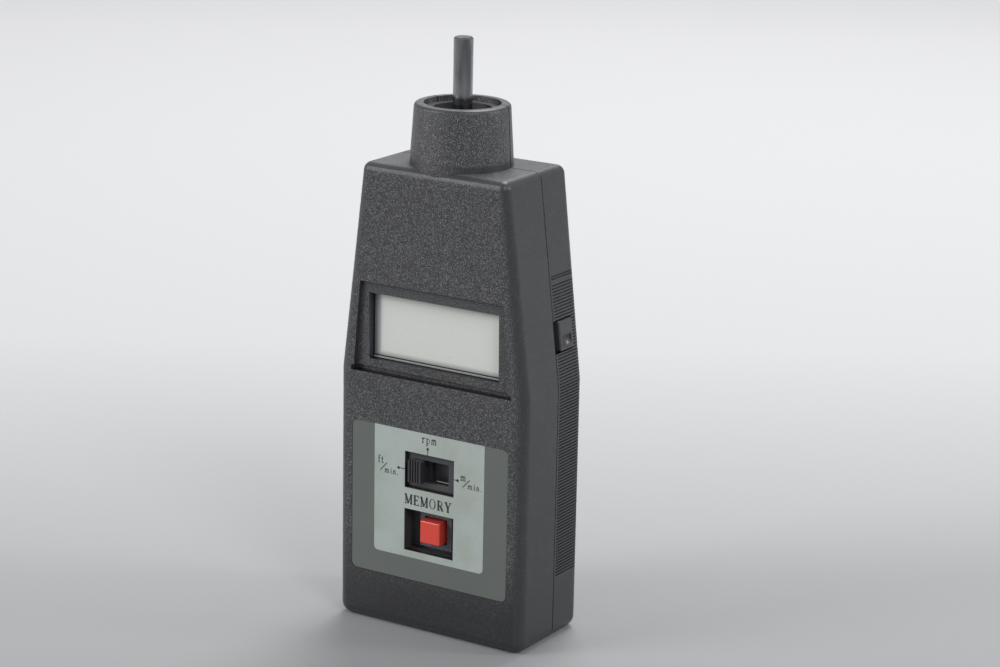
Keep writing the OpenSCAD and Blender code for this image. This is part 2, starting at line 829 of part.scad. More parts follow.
// Square cap with its upright and front edges rounded
module extrude_cap(edge, back) {
    hull()
        for (sx = [-1, 1])
            for (sz = [-1, 1]) {
                x = opening_x + sx * (cap_w / 2 - edge);
                z = memory_z + sz * (cap_w / 2 - edge);
                translate([x, front_y + cap_sunk + edge, z]) ball(edge);
                translate([x, front_y + back, z]) rotate([90, 0, 0])
                    cylinder(h = edge, r = edge, $fn = hull_fn);
            }
}

// Measuring button with its thumb scoop, flange and boss
module measure_button() {
    scoop_r = measure_h * 0.55;
    scoop_depth = 1.3;
    scoop_w = measure_w * 0.68;
    edge = 0.6;
    color([0.17, 0.17, 0.18]) side_frame(measure_d) {
        difference() {
            hull()
                for (sy = [-1, 1])
                    for (sz = [-1, 1]) {
                        translate([measure_proud - edge, sy * (measure_w / 2 - edge), sz * (measure_h / 2 - edge)])
                            ball(edge);
                        translate([boss_top, sy * (measure_w / 2 - edge), sz * (measure_h / 2 - edge)])
                            rotate([0, 90, 0]) cylinder(h = edge, r = edge, $fn = hull_fn);
                    }
            intersection() {
                translate([measure_proud + scoop_r - scoop_depth, 0, -measure_h / 8]) sphere(scoop_r);
                side_box(-pad_depth, cut + measure_proud, scoop_w, measure_h / 2, -measure_h / 4);
            }
        }
        side_box(boss_top, flange_top, measure_w + 2 * button_flange, measure_h + 2 * button_flange);
        translate([boss_end, 0, 0]) rotate([0, 90, 0])
            cylinder(h = button_boss_len + button_flange_t / 2, r = button_boss_r);
    }
}

// Push switch behind the measuring button, on its own small upright board
tact_x = half_w(measure_z) + (actuator_top - actuator_len) * cos(taper);

module measure_switch() {
    color([0.15, 0.15, 0.16]) {
        translate([tact_x - tact_t, front_y + measure_d - tact_w / 2, measure_z - tact_w / 2])
            cube([tact_t, tact_w, tact_w]);
        translate([tact_x - actuator_len, front_y + measure_d, measure_z]) rotate([0, 90, 0])
            cylinder(h = 2 * actuator_len, r = actuator_r);
    }
}

module measure_board() {
    margin = 2;
    color([0.1, 0.35, 0.2])
        block(tact_x - tact_t - board_t, tact_x - tact_t, board_back_d, measure_d + tact_w / 2 + margin,
            measure_z - tact_w, measure_z + tact_w);
}

// A ring about the shaft's axis
module ring(z, h, r_out, r_in) {
    translate([0, axis_y, z]) difference() {
        cylinder(h = h, r = r_out);
        translate([0, 0, -cut]) cylinder(h = h + 2 * cut, r = r_in);
    }
}

module drive_shaft() {
    length = shaft_top_z - shaft_low_z;
    c = shaft_chamfer;
    groove_r = shaft_r - clip_groove;
    grooves = [for (z = [clip_z, upper_clip_z]) z - shaft_low_z];
    color([0.62, 0.63, 0.65]) translate([0, axis_y, shaft_low_z]) rotate_extrude()
        polygon(concat(
            [[0, 0], [shaft_r - c, 0], [shaft_r, c]],
            [for (z = grooves, p = [[shaft_r, 0], [groove_r, 0], [groove_r, clip_t], [shaft_r, clip_t]])
                [p[0], z + p[1]]],
            [[shaft_r, length - c], [shaft_r - c, length], [0, length]]
        ));
}

// Holder: a sleeve that fills the collar, with a flange under the top wall and a bearing seat at each end
module bearing_holder() {
    seat_lip = 0.8;
    color([0.11, 0.11, 0.12]) translate([0, axis_y, 0]) difference() {
        union() {
            translate([0, 0, holder_low_z])
                cylinder(h = holder_top_z - holder_low_z, r = collar_bore_r, $fn = 96);
            translate([0, 0, body_h - wall - flange_t]) cylinder(h = flange_t, r = flange_r, $fn = 96);
        }
        translate([0, 0, upper_bearing_z]) cylinder(h = holder_top_z, r = bearing_r);
        translate([0, 0, holder_low_z - cut])
            cylinder(h = holder_top_z - holder_low_z, r = bearing_r - seat_lip);
        translate([0, 0, lower_bearing_z - cut]) cylinder(h = bearing_w + cut, r = bearing_r);
    }
}

module bearing_circlip() {
    color([0.16, 0.16, 0.17]) ring(upper_bearing_z + bearing_w, clip_t, bearing_r, bearing_r - 3 * clip_t / 2);
}

// Outer ring with a shield near each face, round the inner ring
module outer_ring(z) {
    bead = 0.18 * bearing_r;
    shield_t = 0.5;
    color([0.5, 0.5, 0.52]) {
        ring(z, bearing_w, bearing_r, bearing_r - bead);
        for (h = [shield_t, bearing_w - 2 * shield_t])
            ring(z + h, shield_t, bearing_r - bead / 2, inner_ring_r + ring_gap);
    }
}

module inner_ring(z) {
    color([0.6, 0.6, 0.62]) ring(z, bearing_w, inner_ring_r, shaft_r);
}

module upper_outer_ring() { outer_ring(upper_bearing_z); }

module upper_inner_ring() { inner_ring(upper_bearing_z); }

module lower_outer_ring() { outer_ring(lower_bearing_z); }

module lower_inner_ring() { inner_ring(lower_bearing_z); }

module bearing_spacer() {
    color([0.7, 0.7, 0.66])
        ring(lower_bearing_z + bearing_w, bearing_span, clip_r, shaft_r);
}

// Retaining clips in the shaft's two grooves, one outside each bearing
module shaft_clip(z) {
    color([0.3, 0.3, 0.32]) ring(z, clip_t, clip_r, shaft_r - clip_groove);
}

// Hub with a thin seat flange that carries the disc from below
module disc_hub() {
    color([0.75, 0.68, 0.4]) ring(disc_z - hub_t, hub_t, hub_r, shaft_r);
}

// Chopper disc: a ring of narrow slots near its rim
module chopper_disc() {
    slot_len = disc_r * 0.2;
    slot_mid = disc_r * 0.84;
    slot_width = PI * slot_mid / disc_slots;
    color([0.55, 0.56, 0.58]) translate([0, axis_y, disc_z]) difference() {
        cylinder(h = disc_t, r = disc_r, $fn = 96);
        translate([0, 0, -cut]) cylinder(h = disc_t + 2 * cut, r = shaft_r);
        for (i = [0:disc_slots - 1]) rotate([0, 0, i * 360 / disc_slots])
            translate([slot_mid - slot_len / 2, -slot_width / 2, -cut])
                cube([slot_len, slot_width, disc_t + 2 * cut]);
    }
}

// Light gate on the board's right arm, with the disc's rim running in its slot
module light_gate() {
    gate_d = 8;
    gate_low = 1.5 * hub_t;
    reach = 5.6;
    gap = 1.4;
    end_x = disc_r + gap;
    color([0.1, 0.1, 0.11]) difference() {
        block(disc_r - reach, arm_x + arm_w - gap, board_back_d, axis_d + gate_d / 2, disc_z - gate_low,
            holder_low_z - 2 * fit);
        block(disc_r - reach - cut, end_x, board_back_d - cut, body_d, disc_z - gap, disc_z + disc_t + gap);
        block(disc_r - reach - cut, arm_x - gap, board_back_d - cut, board_back_d + gap / 2, disc_z - body_d,
            disc_z + body_d);
    }
}

// Cells: each stands on its own contact, and neighbours point opposite ways
cell_d = bay_floor_d + cell_r + play;
contact_t = 0.4;
cell_low_z = bay_low_z + contact_room;
cell_h = bay_high_z - contact_room - cell_low_z;

module cell(i) {
    nub_r = 0.38 * cell_r;
    nub_h = 1;
    x = (i - (cell_count - 1) / 2) * cell_pitch;
    up = i % 2 == 0;
    color([0.25, 0.3, 0.45]) translate([x, front_y + cell_d, cell_low_z + (up ? 0 : nub_h)])
        cylinder(h = cell_h - nub_h, r = cell_r);
    color([0.75, 0.75, 0.76])
        translate([x, front_y + cell_d, up ? cell_low_z + cell_h - 2 * nub_h : cell_low_z])
            cylinder(h = 2 * nub_h, r = nub_r);
}

module cell_1() { cell(0); }

module cell_2() { cell(1); }

module cell_3() { cell(2); }

module cell_4() { cell(3); }

// A contact plate across one or two cells, from the bay's end wall to the cells
module contact(first, last, high) {
    w = 1.27 * cell_r;
    x0 = (first - (cell_count - 1) / 2) * cell_pitch - w / 2;
    x1 = (last - (cell_count - 1) / 2) * cell_pitch + w / 2;
    end_z = high ? bay_high_z - contact_t : bay_low_z;
    gap = cell_low_z - bay_low_z - contact_t;
    color([0.8, 0.8, 0.8]) {
        block(x0, x1, cell_d - w / 2, cell_d + w / 2, end_z, end_z + contact_t);
        for (i = [first:last]) {
            x = (i - (cell_count - 1) / 2) * cell_pitch;
            translate([x, front_y + cell_d, high ? bay_high_z - contact_t - gap : bay_low_z + contact_t / 2])
                cylinder(h = gap + contact_t / 2, r1 = high ? w / 5 : w / 3, r2 = high ? w / 3 : w / 5);
        }
    }
}

module contact_upper_left() { contact(0, 1, true); }

module contact_upper_right() { contact(2, 3, true); }

module contact_lower_left() { contact(0, 0, false); }

module contact_lower_middle() { contact(1, 2, false); }

module contact_lower_right() { contact(3, 3, false); }

// A cross-headed screw along the depth, with its head toward the back
module screw(p, seat_d, head_r, head_t, r, length) {
    socket = head_r * 0.3;
    color([0.55, 0.55, 0.57]) difference() {
        union() {
            bar(p[0], p[1], head_r, seat_d, seat_d + head_t);
            bar(p[0], p[1], r, seat_d - length, seat_d + head_t / 2);
        }
        plate(p[0], p[1], head_r, socket, seat_d + head_t / 2, seat_d + head_t + cut);
        plate(p[0], p[1], socket, head_r, seat_d + head_t / 2, seat_d + head_t + cut);
    }
}

module housing_screw(i) {
    screw(screw_places[i], split_d + screw_seat, screw_head_r, screw_head_t, screw_r, screw_len);
}

module board_screw(i) {
    screw(post_places[i], board_back_d, board_head_r, board_head_t, board_screw_r, board_screw_len);
}

front_housing();
rear_housing();
battery_cover();
panel_label();
lcd_glass();
lcd_holder();
lcd_connector_upper();
lcd_connector_lower();
main_board();
processor_chip();
driver_chip();
crystal_can();
supply_capacitor();
slide_switch_body();
slide_switch_knob();
memory_bezel();
memory_switch_body();
memory_button();
measure_button();
measure_switch();
measure_board();
drive_shaft();
bearing_holder();
bearing_circlip();
upper_outer_ring();
upper_inner_ring();
lower_outer_ring();
lower_inner_ring();
bearing_spacer();
shaft_clip(upper_clip_z);  // shaft_clip_upper
shaft_clip(clip_z);  // shaft_clip_lower
disc_hub();
chopper_disc();
light_gate();
cell_1();
cell_2();
cell_3();
cell_4();
contact_upper_left();
contact_upper_right();
contact_lower_left();
contact_lower_middle();
contact_lower_right();
housing_screw(0);  // housing_screw_1
housing_screw(1);  // housing_screw_2
housing_screw(2);  // housing_screw_3
housing_screw(3);  // housing_screw_4
board_screw(0);  // board_screw_1
board_screw(1);  // board_screw_2
board_screw(2);  // board_screw_3
board_screw(3);  // board_screw_4
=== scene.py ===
"""Looks of the contact tachometer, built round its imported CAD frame.

Each sub-assembly is a class whose fields are its sizes and whose methods build its meshes and dress
its CAD nodes. Each finish is a frozen dataclass that builds one procedural material. Sizes of pieces
are in millimetres in the fields and become metres in the meshes, and places in a finish are in metres.
Points on the face are (x, z) pairs. Every new piece rides on CARRIER, the body of the housing.
"""
from __future__ import annotations

import logging
from dataclasses import dataclass, field
from enum import Enum
from typing import Dict, Iterable, List, Sequence, Tuple

import bpy
import bmesh
import numpy as np
from mathutils import Matrix, Vector

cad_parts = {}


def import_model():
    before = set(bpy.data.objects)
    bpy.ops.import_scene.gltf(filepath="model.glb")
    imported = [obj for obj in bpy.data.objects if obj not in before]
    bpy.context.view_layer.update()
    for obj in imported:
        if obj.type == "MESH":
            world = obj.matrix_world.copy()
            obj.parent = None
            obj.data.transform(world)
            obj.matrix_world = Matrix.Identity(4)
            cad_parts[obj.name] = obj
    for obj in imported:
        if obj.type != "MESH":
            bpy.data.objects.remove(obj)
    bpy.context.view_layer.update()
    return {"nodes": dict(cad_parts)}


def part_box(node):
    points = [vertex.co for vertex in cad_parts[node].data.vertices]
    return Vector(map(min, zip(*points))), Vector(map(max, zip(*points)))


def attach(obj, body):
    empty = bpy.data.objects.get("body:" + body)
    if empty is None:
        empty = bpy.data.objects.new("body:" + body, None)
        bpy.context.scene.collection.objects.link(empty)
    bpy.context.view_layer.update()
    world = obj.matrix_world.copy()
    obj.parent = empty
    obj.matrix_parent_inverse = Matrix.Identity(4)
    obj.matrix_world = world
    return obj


MM = 0.001
CARRIER = "housing"
LOG = logging.getLogger("tachometer")
Rgb = Tuple[float, float, float]
Point = Tuple[float, float]
Point3 = Tuple[float, float, float]
Stroke = Tuple[Sequence[Point], float]
Drawing = Tuple[np.ndarray, np.ndarray]
Socket = bpy.types.NodeSocket


class Slot(str, Enum):
    """Names of the record's material slots, passed with new pieces of the object."""

    LABEL = "label"
    DISPLAY = "display"
    HOLDER = "holder"
    CONTACT = "contact"


def linear(red: int, green: int, blue: int) -> Rgb:
    """Turns a display colour into the linear one that shaders take.

    Args:
        red: Red from 0 to 255.
        green: Green from 0 to 255.
        blue: Blue from 0 to 255.

    Returns:
        The linear colour.
    """
    values = np.array([red, green, blue]) / 255.0
    low, high = values / 12.92, ((values + 0.055) / 1.055) ** 2.4
    return tuple(float(v) for v in np.where(values <= 0.04045, low, high))


class Graph:
    """A material's node tree, with one short call for each kind of node."""

    def __init__(self, name: str) -> None:
        """Makes an empty material with an output.

        Args:
            name: Name of the material.
        """
        self.material = bpy.data.materials.new(name)
        self.material.use_nodes = True
        self.tree = self.material.node_tree
        self.tree.nodes.clear()
        self.output = self.tree.nodes.new("ShaderNodeOutputMaterial")
        self.coords = self.tree.nodes.new("ShaderNodeTexCoord").outputs["Object"]

    def put(self, socket: Socket, value: object) -> None:
        """Links a socket to a socket, or sets its value.

        Args:
            socket: The input.
            value: Another node's output, or a plain value.
        """
        if isinstance(value, Socket):
            self.tree.links.new(value, socket)
        else:
            socket.default_value = value

    def stretched(self, scale: Sequence[float]) -> Socket:
        """Object coordinates times a scale on each axis.

        Args:
            scale: Scale on X, Y and Z.

        Returns:
            The vector output.
        """
        node = self.tree.nodes.new("ShaderNodeMapping")
        node.inputs["Scale"].default_value = scale
        self.put(node.inputs["Vector"], self.coords)
        return node.outputs["Vector"]

    def noise(self, scale: float, detail: float = 2.0, rough: float = 0.5,
              stretch: Sequence[float] = (1.0, 1.0, 1.0)) -> Socket:
        """Noise value from 0 to 1.

        Args:
            scale: Spots to a metre.
            detail: Octaves.
            rough: Strength of the finer octaves.
            stretch: Scale on each axis.

        Returns:
            The value output.
        """
        node = self.tree.nodes.new("ShaderNodeTexNoise")
        self.put(node.inputs["Vector"], self.stretched(stretch))
        node.inputs["Scale"].default_value = scale
        node.inputs["Detail"].default_value = detail
        node.inputs["Roughness"].default_value = rough
        return node.outputs["Fac"]

    def cells(self, scale: float) -> Tuple[Socket, Socket]:
        """Distance to the nearest random point, and that point's random colour.

        Args:
            scale: Points to a metre.

        Returns:
            The distance and the colour output.
        """
        node = self.tree.nodes.new("ShaderNodeTexVoronoi")
        self.put(node.inputs["Vector"], self.coords)
        node.inputs["Scale"].default_value = scale
        return node.outputs["Distance"], node.outputs["Color"]

    def span(self, value: object, low: float, high: float,
             to_low: float = 0.0, to_high: float = 1.0) -> Socket:
        """Maps a value from one range to another and clamps it.

        Args:
            value: The value.
            low: Start of its range.
            high: End of its range.
            to_low: Result at the start.
            to_high: Result at the end.

        Returns:
            The mapped value.
        """
        node = self.tree.nodes.new("ShaderNodeMapRange")
        self.put(node.inputs["Value"], value)
        for name, number in (("From Min", low), ("From Max", high), ("To Min", to_low), ("To Max", to_high)):
            node.inputs[name].default_value = number
        return node.outputs["Result"]

    def math(self, kind: str, first: object, second: object = 0.0) -> Socket:
        """A sum, product or other function of two values.

        Args:
            kind: Blender's name of the function.
            first: The first value.
            second: The second value.

        Returns:
            The result.
        """
        node = self.tree.nodes.new("ShaderNodeMath")
        node.operation = kind
        self.put(node.inputs[0], first)
        self.put(node.inputs[1], second)
        return node.outputs[0]

    def mix(self, share: object, first: object, second: object) -> Socket:
        """Mixes two colours.

        Args:
            share: Share of the second colour.
            first: The first colour.
            second: The second colour.

        Returns:
            The mixed colour.
        """
        node = self.tree.nodes.new("ShaderNodeMix")
        node.data_type = "RGBA"
        self.put(node.inputs["Factor"], share)
        for socket, colour in ((node.inputs[6], first), (node.inputs[7], second)):
            self.put(socket, (*colour, 1.0) if isinstance(colour, tuple) else colour)
        return node.outputs[2]

    def axis(self, name: str, normal: bool = False) -> Socket:
        """One component of the place or of the surface's direction.

        Args:
            name: X, Y or Z.
            normal: True for the direction.

        Returns:
            The component.
        """
        node = self.tree.nodes.new("ShaderNodeSeparateXYZ")
        source = self.tree.nodes.new("ShaderNodeNewGeometry").outputs["Normal"] if normal else self.coords
        self.put(node.inputs[0], source)
        return node.outputs[name]

    def bump(self, height: object, depth: float, strength: object = 1.0,
             under: object = None) -> Socket:
        """Surface direction over a height.

        Args:
            height: The height from 0 to 1.
            depth: Its depth in metres.
            strength: Strength of the effect.
            under: Another bump's output that lies under this one.

        Returns:
            The direction output.
        """
        node = self.tree.nodes.new("ShaderNodeBump")
        self.put(node.inputs["Height"], height)
        self.put(node.inputs["Strength"], strength)
        node.inputs["Distance"].default_value = depth
        if under is not None:
            self.put(node.inputs["Normal"], under)
        return node.outputs["Normal"]

    def shade(self, **inputs: object) -> bpy.types.Material:
        """Ends the tree in a Principled shader.

        Args:
            inputs: Values or outputs by the shader's socket names, with _ for a space.

        Returns:
            The finished material.
        """
        node = self.tree.nodes.new("ShaderNodeBsdfPrincipled")
        for name, value in inputs.items():
            socket = node.inputs[name.replace("_", " ")]
            self.put(socket, (*value, 1.0) if isinstance(value, tuple) and len(value) == 3 else value)
        self.tree.links.new(node.outputs["BSDF"], self.output.inputs["Surface"])
        return self.material


@dataclass(frozen=True)
class Finish:
    """A finish that builds one material.

    Attributes:
        name: Name of the material.
        colour: Linear base colour.
        rough: Mean roughness.
    """

    name: str
    colour: Rgb
    rough: float

    def times(self, share: float) -> Rgb:
        """The base colour times a number.

        Args:
            share: The number.

        Returns:
            The new colour.
        """
        return tuple(c * share for c in self.colour)

    def build(self) -> bpy.types.Material:
        """Builds the material.

        Returns:
            The material.
        """
        raise NotImplementedError


@dataclass(frozen=True)
class MouldedPlastic(Finish):
    """Moulded plastic: a sparked grain with painted glints on broad faces, smoother edges, dust and light
    scuffs, a painted sheen on the top, and painted shade in grooves, at the foot and along the collar's seam.

    Attributes:
        grain: Spots of the grain to a metre.
        grain_depth: Depth of the grain.
        collar_z: Height above which all of the surface has the grain.
        top_z: Heights between which an upward face takes the painted sheen of the lit top.
        chin_z: Heights between which the smooth foot of the face, with its painted shade, ends.
        groove_z: Heights between which a level face is the side of a groove and gets painted shade.
        seam_y: Place of the parting line, which has a painted black shadow line on the collar.
        seam_half: Half of that line's width.
        edge: Length over which one of these ends.
        fleck: Colour of the bright points of the grain, partly grain and partly painted glints.
        pale: Colour of the painted sheen that the top turns to.
        black: Colour of the painted shadow line at the parting line.
        lint: Colour of the dust.
        worn: Colour of the scuffs.
        dust: Share of dust specks.
    """

    grain: float = 3100.0
    grain_depth: float = 0.00014
    collar_z: float = 0.1575
    top_z: Point = (0.150, 0.154)
    chin_z: Point = (0.012, 0.034)
    groove_z: Point = (0.012, 0.142)
    seam_y: float = 0.0026
    seam_half: float = 0.0004
    edge: float = 0.002
    fleck: Rgb = (0.34, 0.34, 0.35)
    pale: Rgb = (0.13, 0.13, 0.134)
    black: Rgb = (0.004, 0.004, 0.004)
    lint: Rgb = (0.42, 0.42, 0.42)
    worn: Rgb = (0.22, 0.22, 0.22)
    dust: float = 0.12

    def grained(self, g: Graph, height: Socket, top: Socket) -> Socket:
        """Share of the grain and its painted glints: full on the collar, strong on the face, the back and the
        top, faint elsewhere, and less at the smoother foot of the face, which also makes painted shade there.

        Args:
            g: The material's graph.
            height: Height of the place.
            top: Share of the top.

        Returns:
            The share.
        """
        facing = g.span(g.math("ABSOLUTE", g.axis("Y", normal=True)), 0.80, 0.97)
        sideways = g.span(g.math("ABSOLUTE", g.axis("Z", normal=True)), 0.25, 0.6, 1.0, 0.0)
        collar = g.math("MULTIPLY", g.span(height, self.collar_z, self.collar_z + 0.0012), sideways)
        area = g.math("MAXIMUM", g.math("MULTIPLY", facing, 0.75), collar)
        area = g.math("MAXIMUM", area, g.span(g.noise(300.0, 1.0), 0.35, 0.8, 0.10, 0.25))
        area = g.math("MAXIMUM", area, g.math("MULTIPLY", top, 0.6))
        return g.math("MULTIPLY", area, g.span(height, *self.chin_z, 0.35, 1.0))

    def shaded(self, g: Graph, height: Socket, base: Socket) -> Socket:
        """Paints shade on the sides of the grooves and on the foot of the face, and a painted shadow line on
        the collar's parting line.

        Args:
            g: The material's graph.
            height: Height of the place.
            base: The colour so far.

        Returns:
            The colour.
        """
        low, high = self.groove_z
        level = g.math("ABSOLUTE", g.axis("Z", normal=True))
        inside = g.math("MULTIPLY", g.span(height, low, low + self.edge),
                        g.span(height, high - self.edge, high, 1.0, 0.0))
        groove = g.math("MULTIPLY", g.span(level, 0.4, 0.7, 0.0, 0.92), inside)
        # Painted shade on the level sides of the grooves and recesses.
        base = g.mix(groove, base, self.times(0.12))
        front = g.span(g.axis("Y", normal=True), -0.97, -0.9, 1.0, 0.0)
        chin = g.math("MULTIPLY", g.span(height, self.chin_z[0] - self.edge, self.chin_z[1], 0.5, 0.0), front)
        # Painted shade on the foot of the front face.
        base = g.mix(chin, base, self.times(0.3))
        # Painted shadow line along the parting line on the collar.
        off = g.math("ABSOLUTE", g.math("SUBTRACT", g.axis("Y"), self.seam_y))
        seam = g.math("MULTIPLY", g.span(off, self.seam_half - 0.0001, self.seam_half + 0.0001, 1.0, 0.0),
                      g.span(height, self.collar_z - self.edge / 2, self.collar_z))
        return g.mix(seam, base, self.black)

    def build(self) -> bpy.types.Material:
        """Builds the material.

        Returns:
            The material.
        """
        g = Graph(self.name)
        height = g.axis("Z")
        top = g.math("MULTIPLY", g.span(g.axis("Z", normal=True), 0.85, 0.97), g.span(height, *self.top_z))
        area = self.grained(g, height, top)
        coarse, fine = g.noise(self.grain, 3.0, 0.62), g.noise(self.grain * 1.9, 2.0, 0.6)
        grain = g.math("ADD", g.math("MULTIPLY", coarse, 0.7), g.math("MULTIPLY", fine, 0.3))
        cloud = g.span(g.noise(24.0, 4.0, 0.6), 0.3, 0.7, 0.0, 0.35)
        base = g.mix(cloud, self.colour, self.times(0.78))
        # Painted sheen: upward faces at the top turn paler, as if lit from above.
        base = g.mix(g.math("MULTIPLY", top, 0.5), base, self.pale)
        # Bright points of the grain: partly grain, partly painted glints of the lamps.
        base = g.mix(g.math("MULTIPLY", g.span(grain, 0.50, 0.66, 0.0, 0.85), area), base, self.fleck)
        base = g.mix(g.math("MULTIPLY", g.span(grain, 0.34, 0.50, 0.8, 0.0), area), base, self.times(0.3))
        base = self.shaded(g, height, base)
        near, random = g.cells(160.0)
        speck = g.math("MULTIPLY", g.span(near, 0.035, 0.055, 0.5, 0.0),
                       g.span(random, 1.0 - self.dust, 1.0 - self.dust + 0.02))
        base = g.mix(speck, base, self.lint)
        scuff = g.span(g.noise(420.0, 5.0, 0.7, (1.0, 1.0, 0.12)), 0.66, 0.74, 0.0, 0.10)
        base = g.mix(scuff, base, self.worn)
        rough = g.math("ADD", g.span(area, 0.0, 1.0, self.rough - 0.1, self.rough),
                       g.span(g.noise(60.0, 3.0), 0.3, 0.7, -0.04, 0.05))
        normal = g.bump(grain, self.grain_depth, g.span(area, 0.0, 1.0, 0.05, 1.0))
        return g.shade(Base_Color=base, Roughness=rough, Normal=normal, Specular_IOR_Level=0.5)


@dataclass(frozen=True)
class SmoothPlastic(Finish):
    """Satin or glossy plastic with fine flow marks and a little handling wear.

    Attributes:
        coat: Weight of a clear gloss.
        wear: Share of paler rubbed spots.
        tint: Colour of the rubbed spots.
    """

    coat: float = 0.0
    wear: float = 0.15
    tint: Rgb = (0.2, 0.2, 0.2)

    def build(self) -> bpy.types.Material:
        """Builds the material.

        Returns:
            The material.
        """
        g = Graph(self.name)
        cloud = g.noise(180.0, 4.0, 0.6)
        base = g.mix(g.span(cloud, 0.3, 0.7, 0.0, 0.4), self.colour, self.times(0.8))
        rubbed = g.span(g.noise(900.0, 4.0, 0.7), 0.60, 0.75, 0.0, self.wear)
        base = g.mix(rubbed, base, self.tint)
        rough = g.span(g.noise(700.0, 3.0), 0.3, 0.7, self.rough - 0.05, self.rough + 0.07)
        normal = g.bump(g.noise(2600.0, 3.0, 0.6), 0.00003, 0.35)
        return g.shade(Base_Color=base, Roughness=rough, Normal=normal, Coat_Weight=self.coat,
                       Coat_Roughness=0.15)


@dataclass(frozen=True)
class GroundMetal(Finish):
    """Ground or drawn metal with fine streaks along one direction.

    Attributes:
        stretch: Scale of the streaks on each axis: a small number draws them out.
        dark: Colour of the darker streaks.
        metallic: Metal share.
    """

    stretch: Tuple[float, float, float] = (1.0, 1.0, 0.03)
    dark: Rgb = (0.22, 0.22, 0.23)
    metallic: float = 1.0

    def build(self) -> bpy.types.Material:
        """Builds the material.

        Returns:
            The material.
        """
        g = Graph(self.name)
        streak = g.noise(2400.0, 3.0, 0.6, self.stretch)
        broad = g.noise(500.0, 2.0, 0.5, self.stretch)
        base = g.mix(g.span(broad, 0.35, 0.65, 0.0, 0.5), self.colour, self.dark)
        stain = g.span(g.noise(300.0, 5.0, 0.65), 0.56, 0.72, 0.0, 0.45)
        base = g.mix(stain, base, self.times(0.55))
        rough = g.math("ADD", g.span(streak, 0.3, 0.7, self.rough - 0.07, self.rough + 0.1),
                       g.math("MULTIPLY", stain, 0.25))
        normal = g.bump(streak, 0.00002, 0.45)
        return g.shade(Base_Color=base, Metallic=self.metallic, Roughness=rough, Normal=normal)


@dataclass(frozen=True)
class PrintedFilm(Finish):
    """Printed polyester film: an even ink under a fine matt lacquer, yellowed in faint clouds.

    Attributes:
        aged: Colour that the clouds turn to.
    """

    aged: Rgb = (0.22, 0.24, 0.2)

    def build(self) -> bpy.types.Material:
        """Builds the material.

        Returns:
            The material.
        """
        g = Graph(self.name)
        cloud = g.span(g.noise(70.0, 4.0, 0.6), 0.42, 0.7, 0.0, 0.5)
        base = g.mix(cloud, self.colour, self.aged)
        dots = g.span(g.noise(5200.0, 1.0), 0.35, 0.65, 0.0, 0.12)
        base = g.mix(dots, base, self.times(0.7))
        scratch = g.span(g.noise(900.0, 4.0, 0.7, (1.0, 1.0, 0.06)), 0.68, 0.74, 0.0, 0.12)
        base = g.mix(scratch, base, self.times(1.7))
        rough = g.span(g.noise(400.0, 3.0), 0.3, 0.7, self.rough - 0.05, self.rough + 0.07)
        normal = g.bump(g.noise(3800.0, 2.0, 0.6), 0.00002, 0.4)
        return g.shade(Base_Color=base, Roughness=rough, Normal=normal)


@dataclass(frozen=True)
class DisplayGlass(Finish):
    """Switched-off liquid crystal display: a pale reflector under glass, with painted shade of its frame
    along the left and lower edges.

    Attributes:
        left: Place of the window's left edge in metres.
        low: Height of the window's lower edge in metres.
        strips: Widths of the two grey strips of painted shade at the left edge, the darker one first.
        foot: Heights over the lower edge between which its painted shade fades.
        shade: Share of the painted shade along both edges.
        shade_colour: Colour of that painted shade.
    """

    left: float = -0.025
    low: float = 0.0903
    strips: Point = (0.0011, 0.0023)
    foot: Point = (0.0008, 0.0028)
    shade: float = 0.8
    shade_colour: Rgb = linear(96, 102, 108)

    def build(self) -> bpy.types.Material:
        """Builds the material.

        Returns:
            The material.
        """
        g = Graph(self.name)
        cloud = g.span(g.noise(40.0, 3.0, 0.5), 0.35, 0.65, 0.0, 0.2)
        base = g.mix(cloud, self.colour, self.times(0.9))
        grain = g.span(g.noise(4200.0, 2.0), 0.35, 0.65, 0.0, 0.08)
        base = g.mix(grain, base, self.times(0.75))
        # Painted shade of the window's frame: two grey strips at the left edge and a band along the lower
        # edge.
        across, up = g.axis("X"), g.axis("Z")
        first, second = (self.left + width for width in self.strips)
        step = g.span(across, first, first + 0.0003, 1.0, 0.55)
        side = g.math("MULTIPLY", g.span(across, second, second + 0.0006, 1.0, 0.0), step)
        foot = g.span(up, self.low + self.foot[0], self.low + self.foot[1], 1.0, 0.0)
        dark = g.math("MULTIPLY", g.math("MAXIMUM", side, foot), self.shade)
        base = g.mix(dark, base, self.shade_colour)
        rough = g.span(g.noise(300.0, 2.0), 0.3, 0.7, self.rough - 0.03, self.rough + 0.05)
        normal = g.bump(g.noise(1800.0, 2.0), 0.00001, 0.3)
        return g.shade(Base_Color=base, Roughness=rough, Normal=normal, Coat_Weight=0.35,
                       Coat_Roughness=0.12, IOR=1.5)


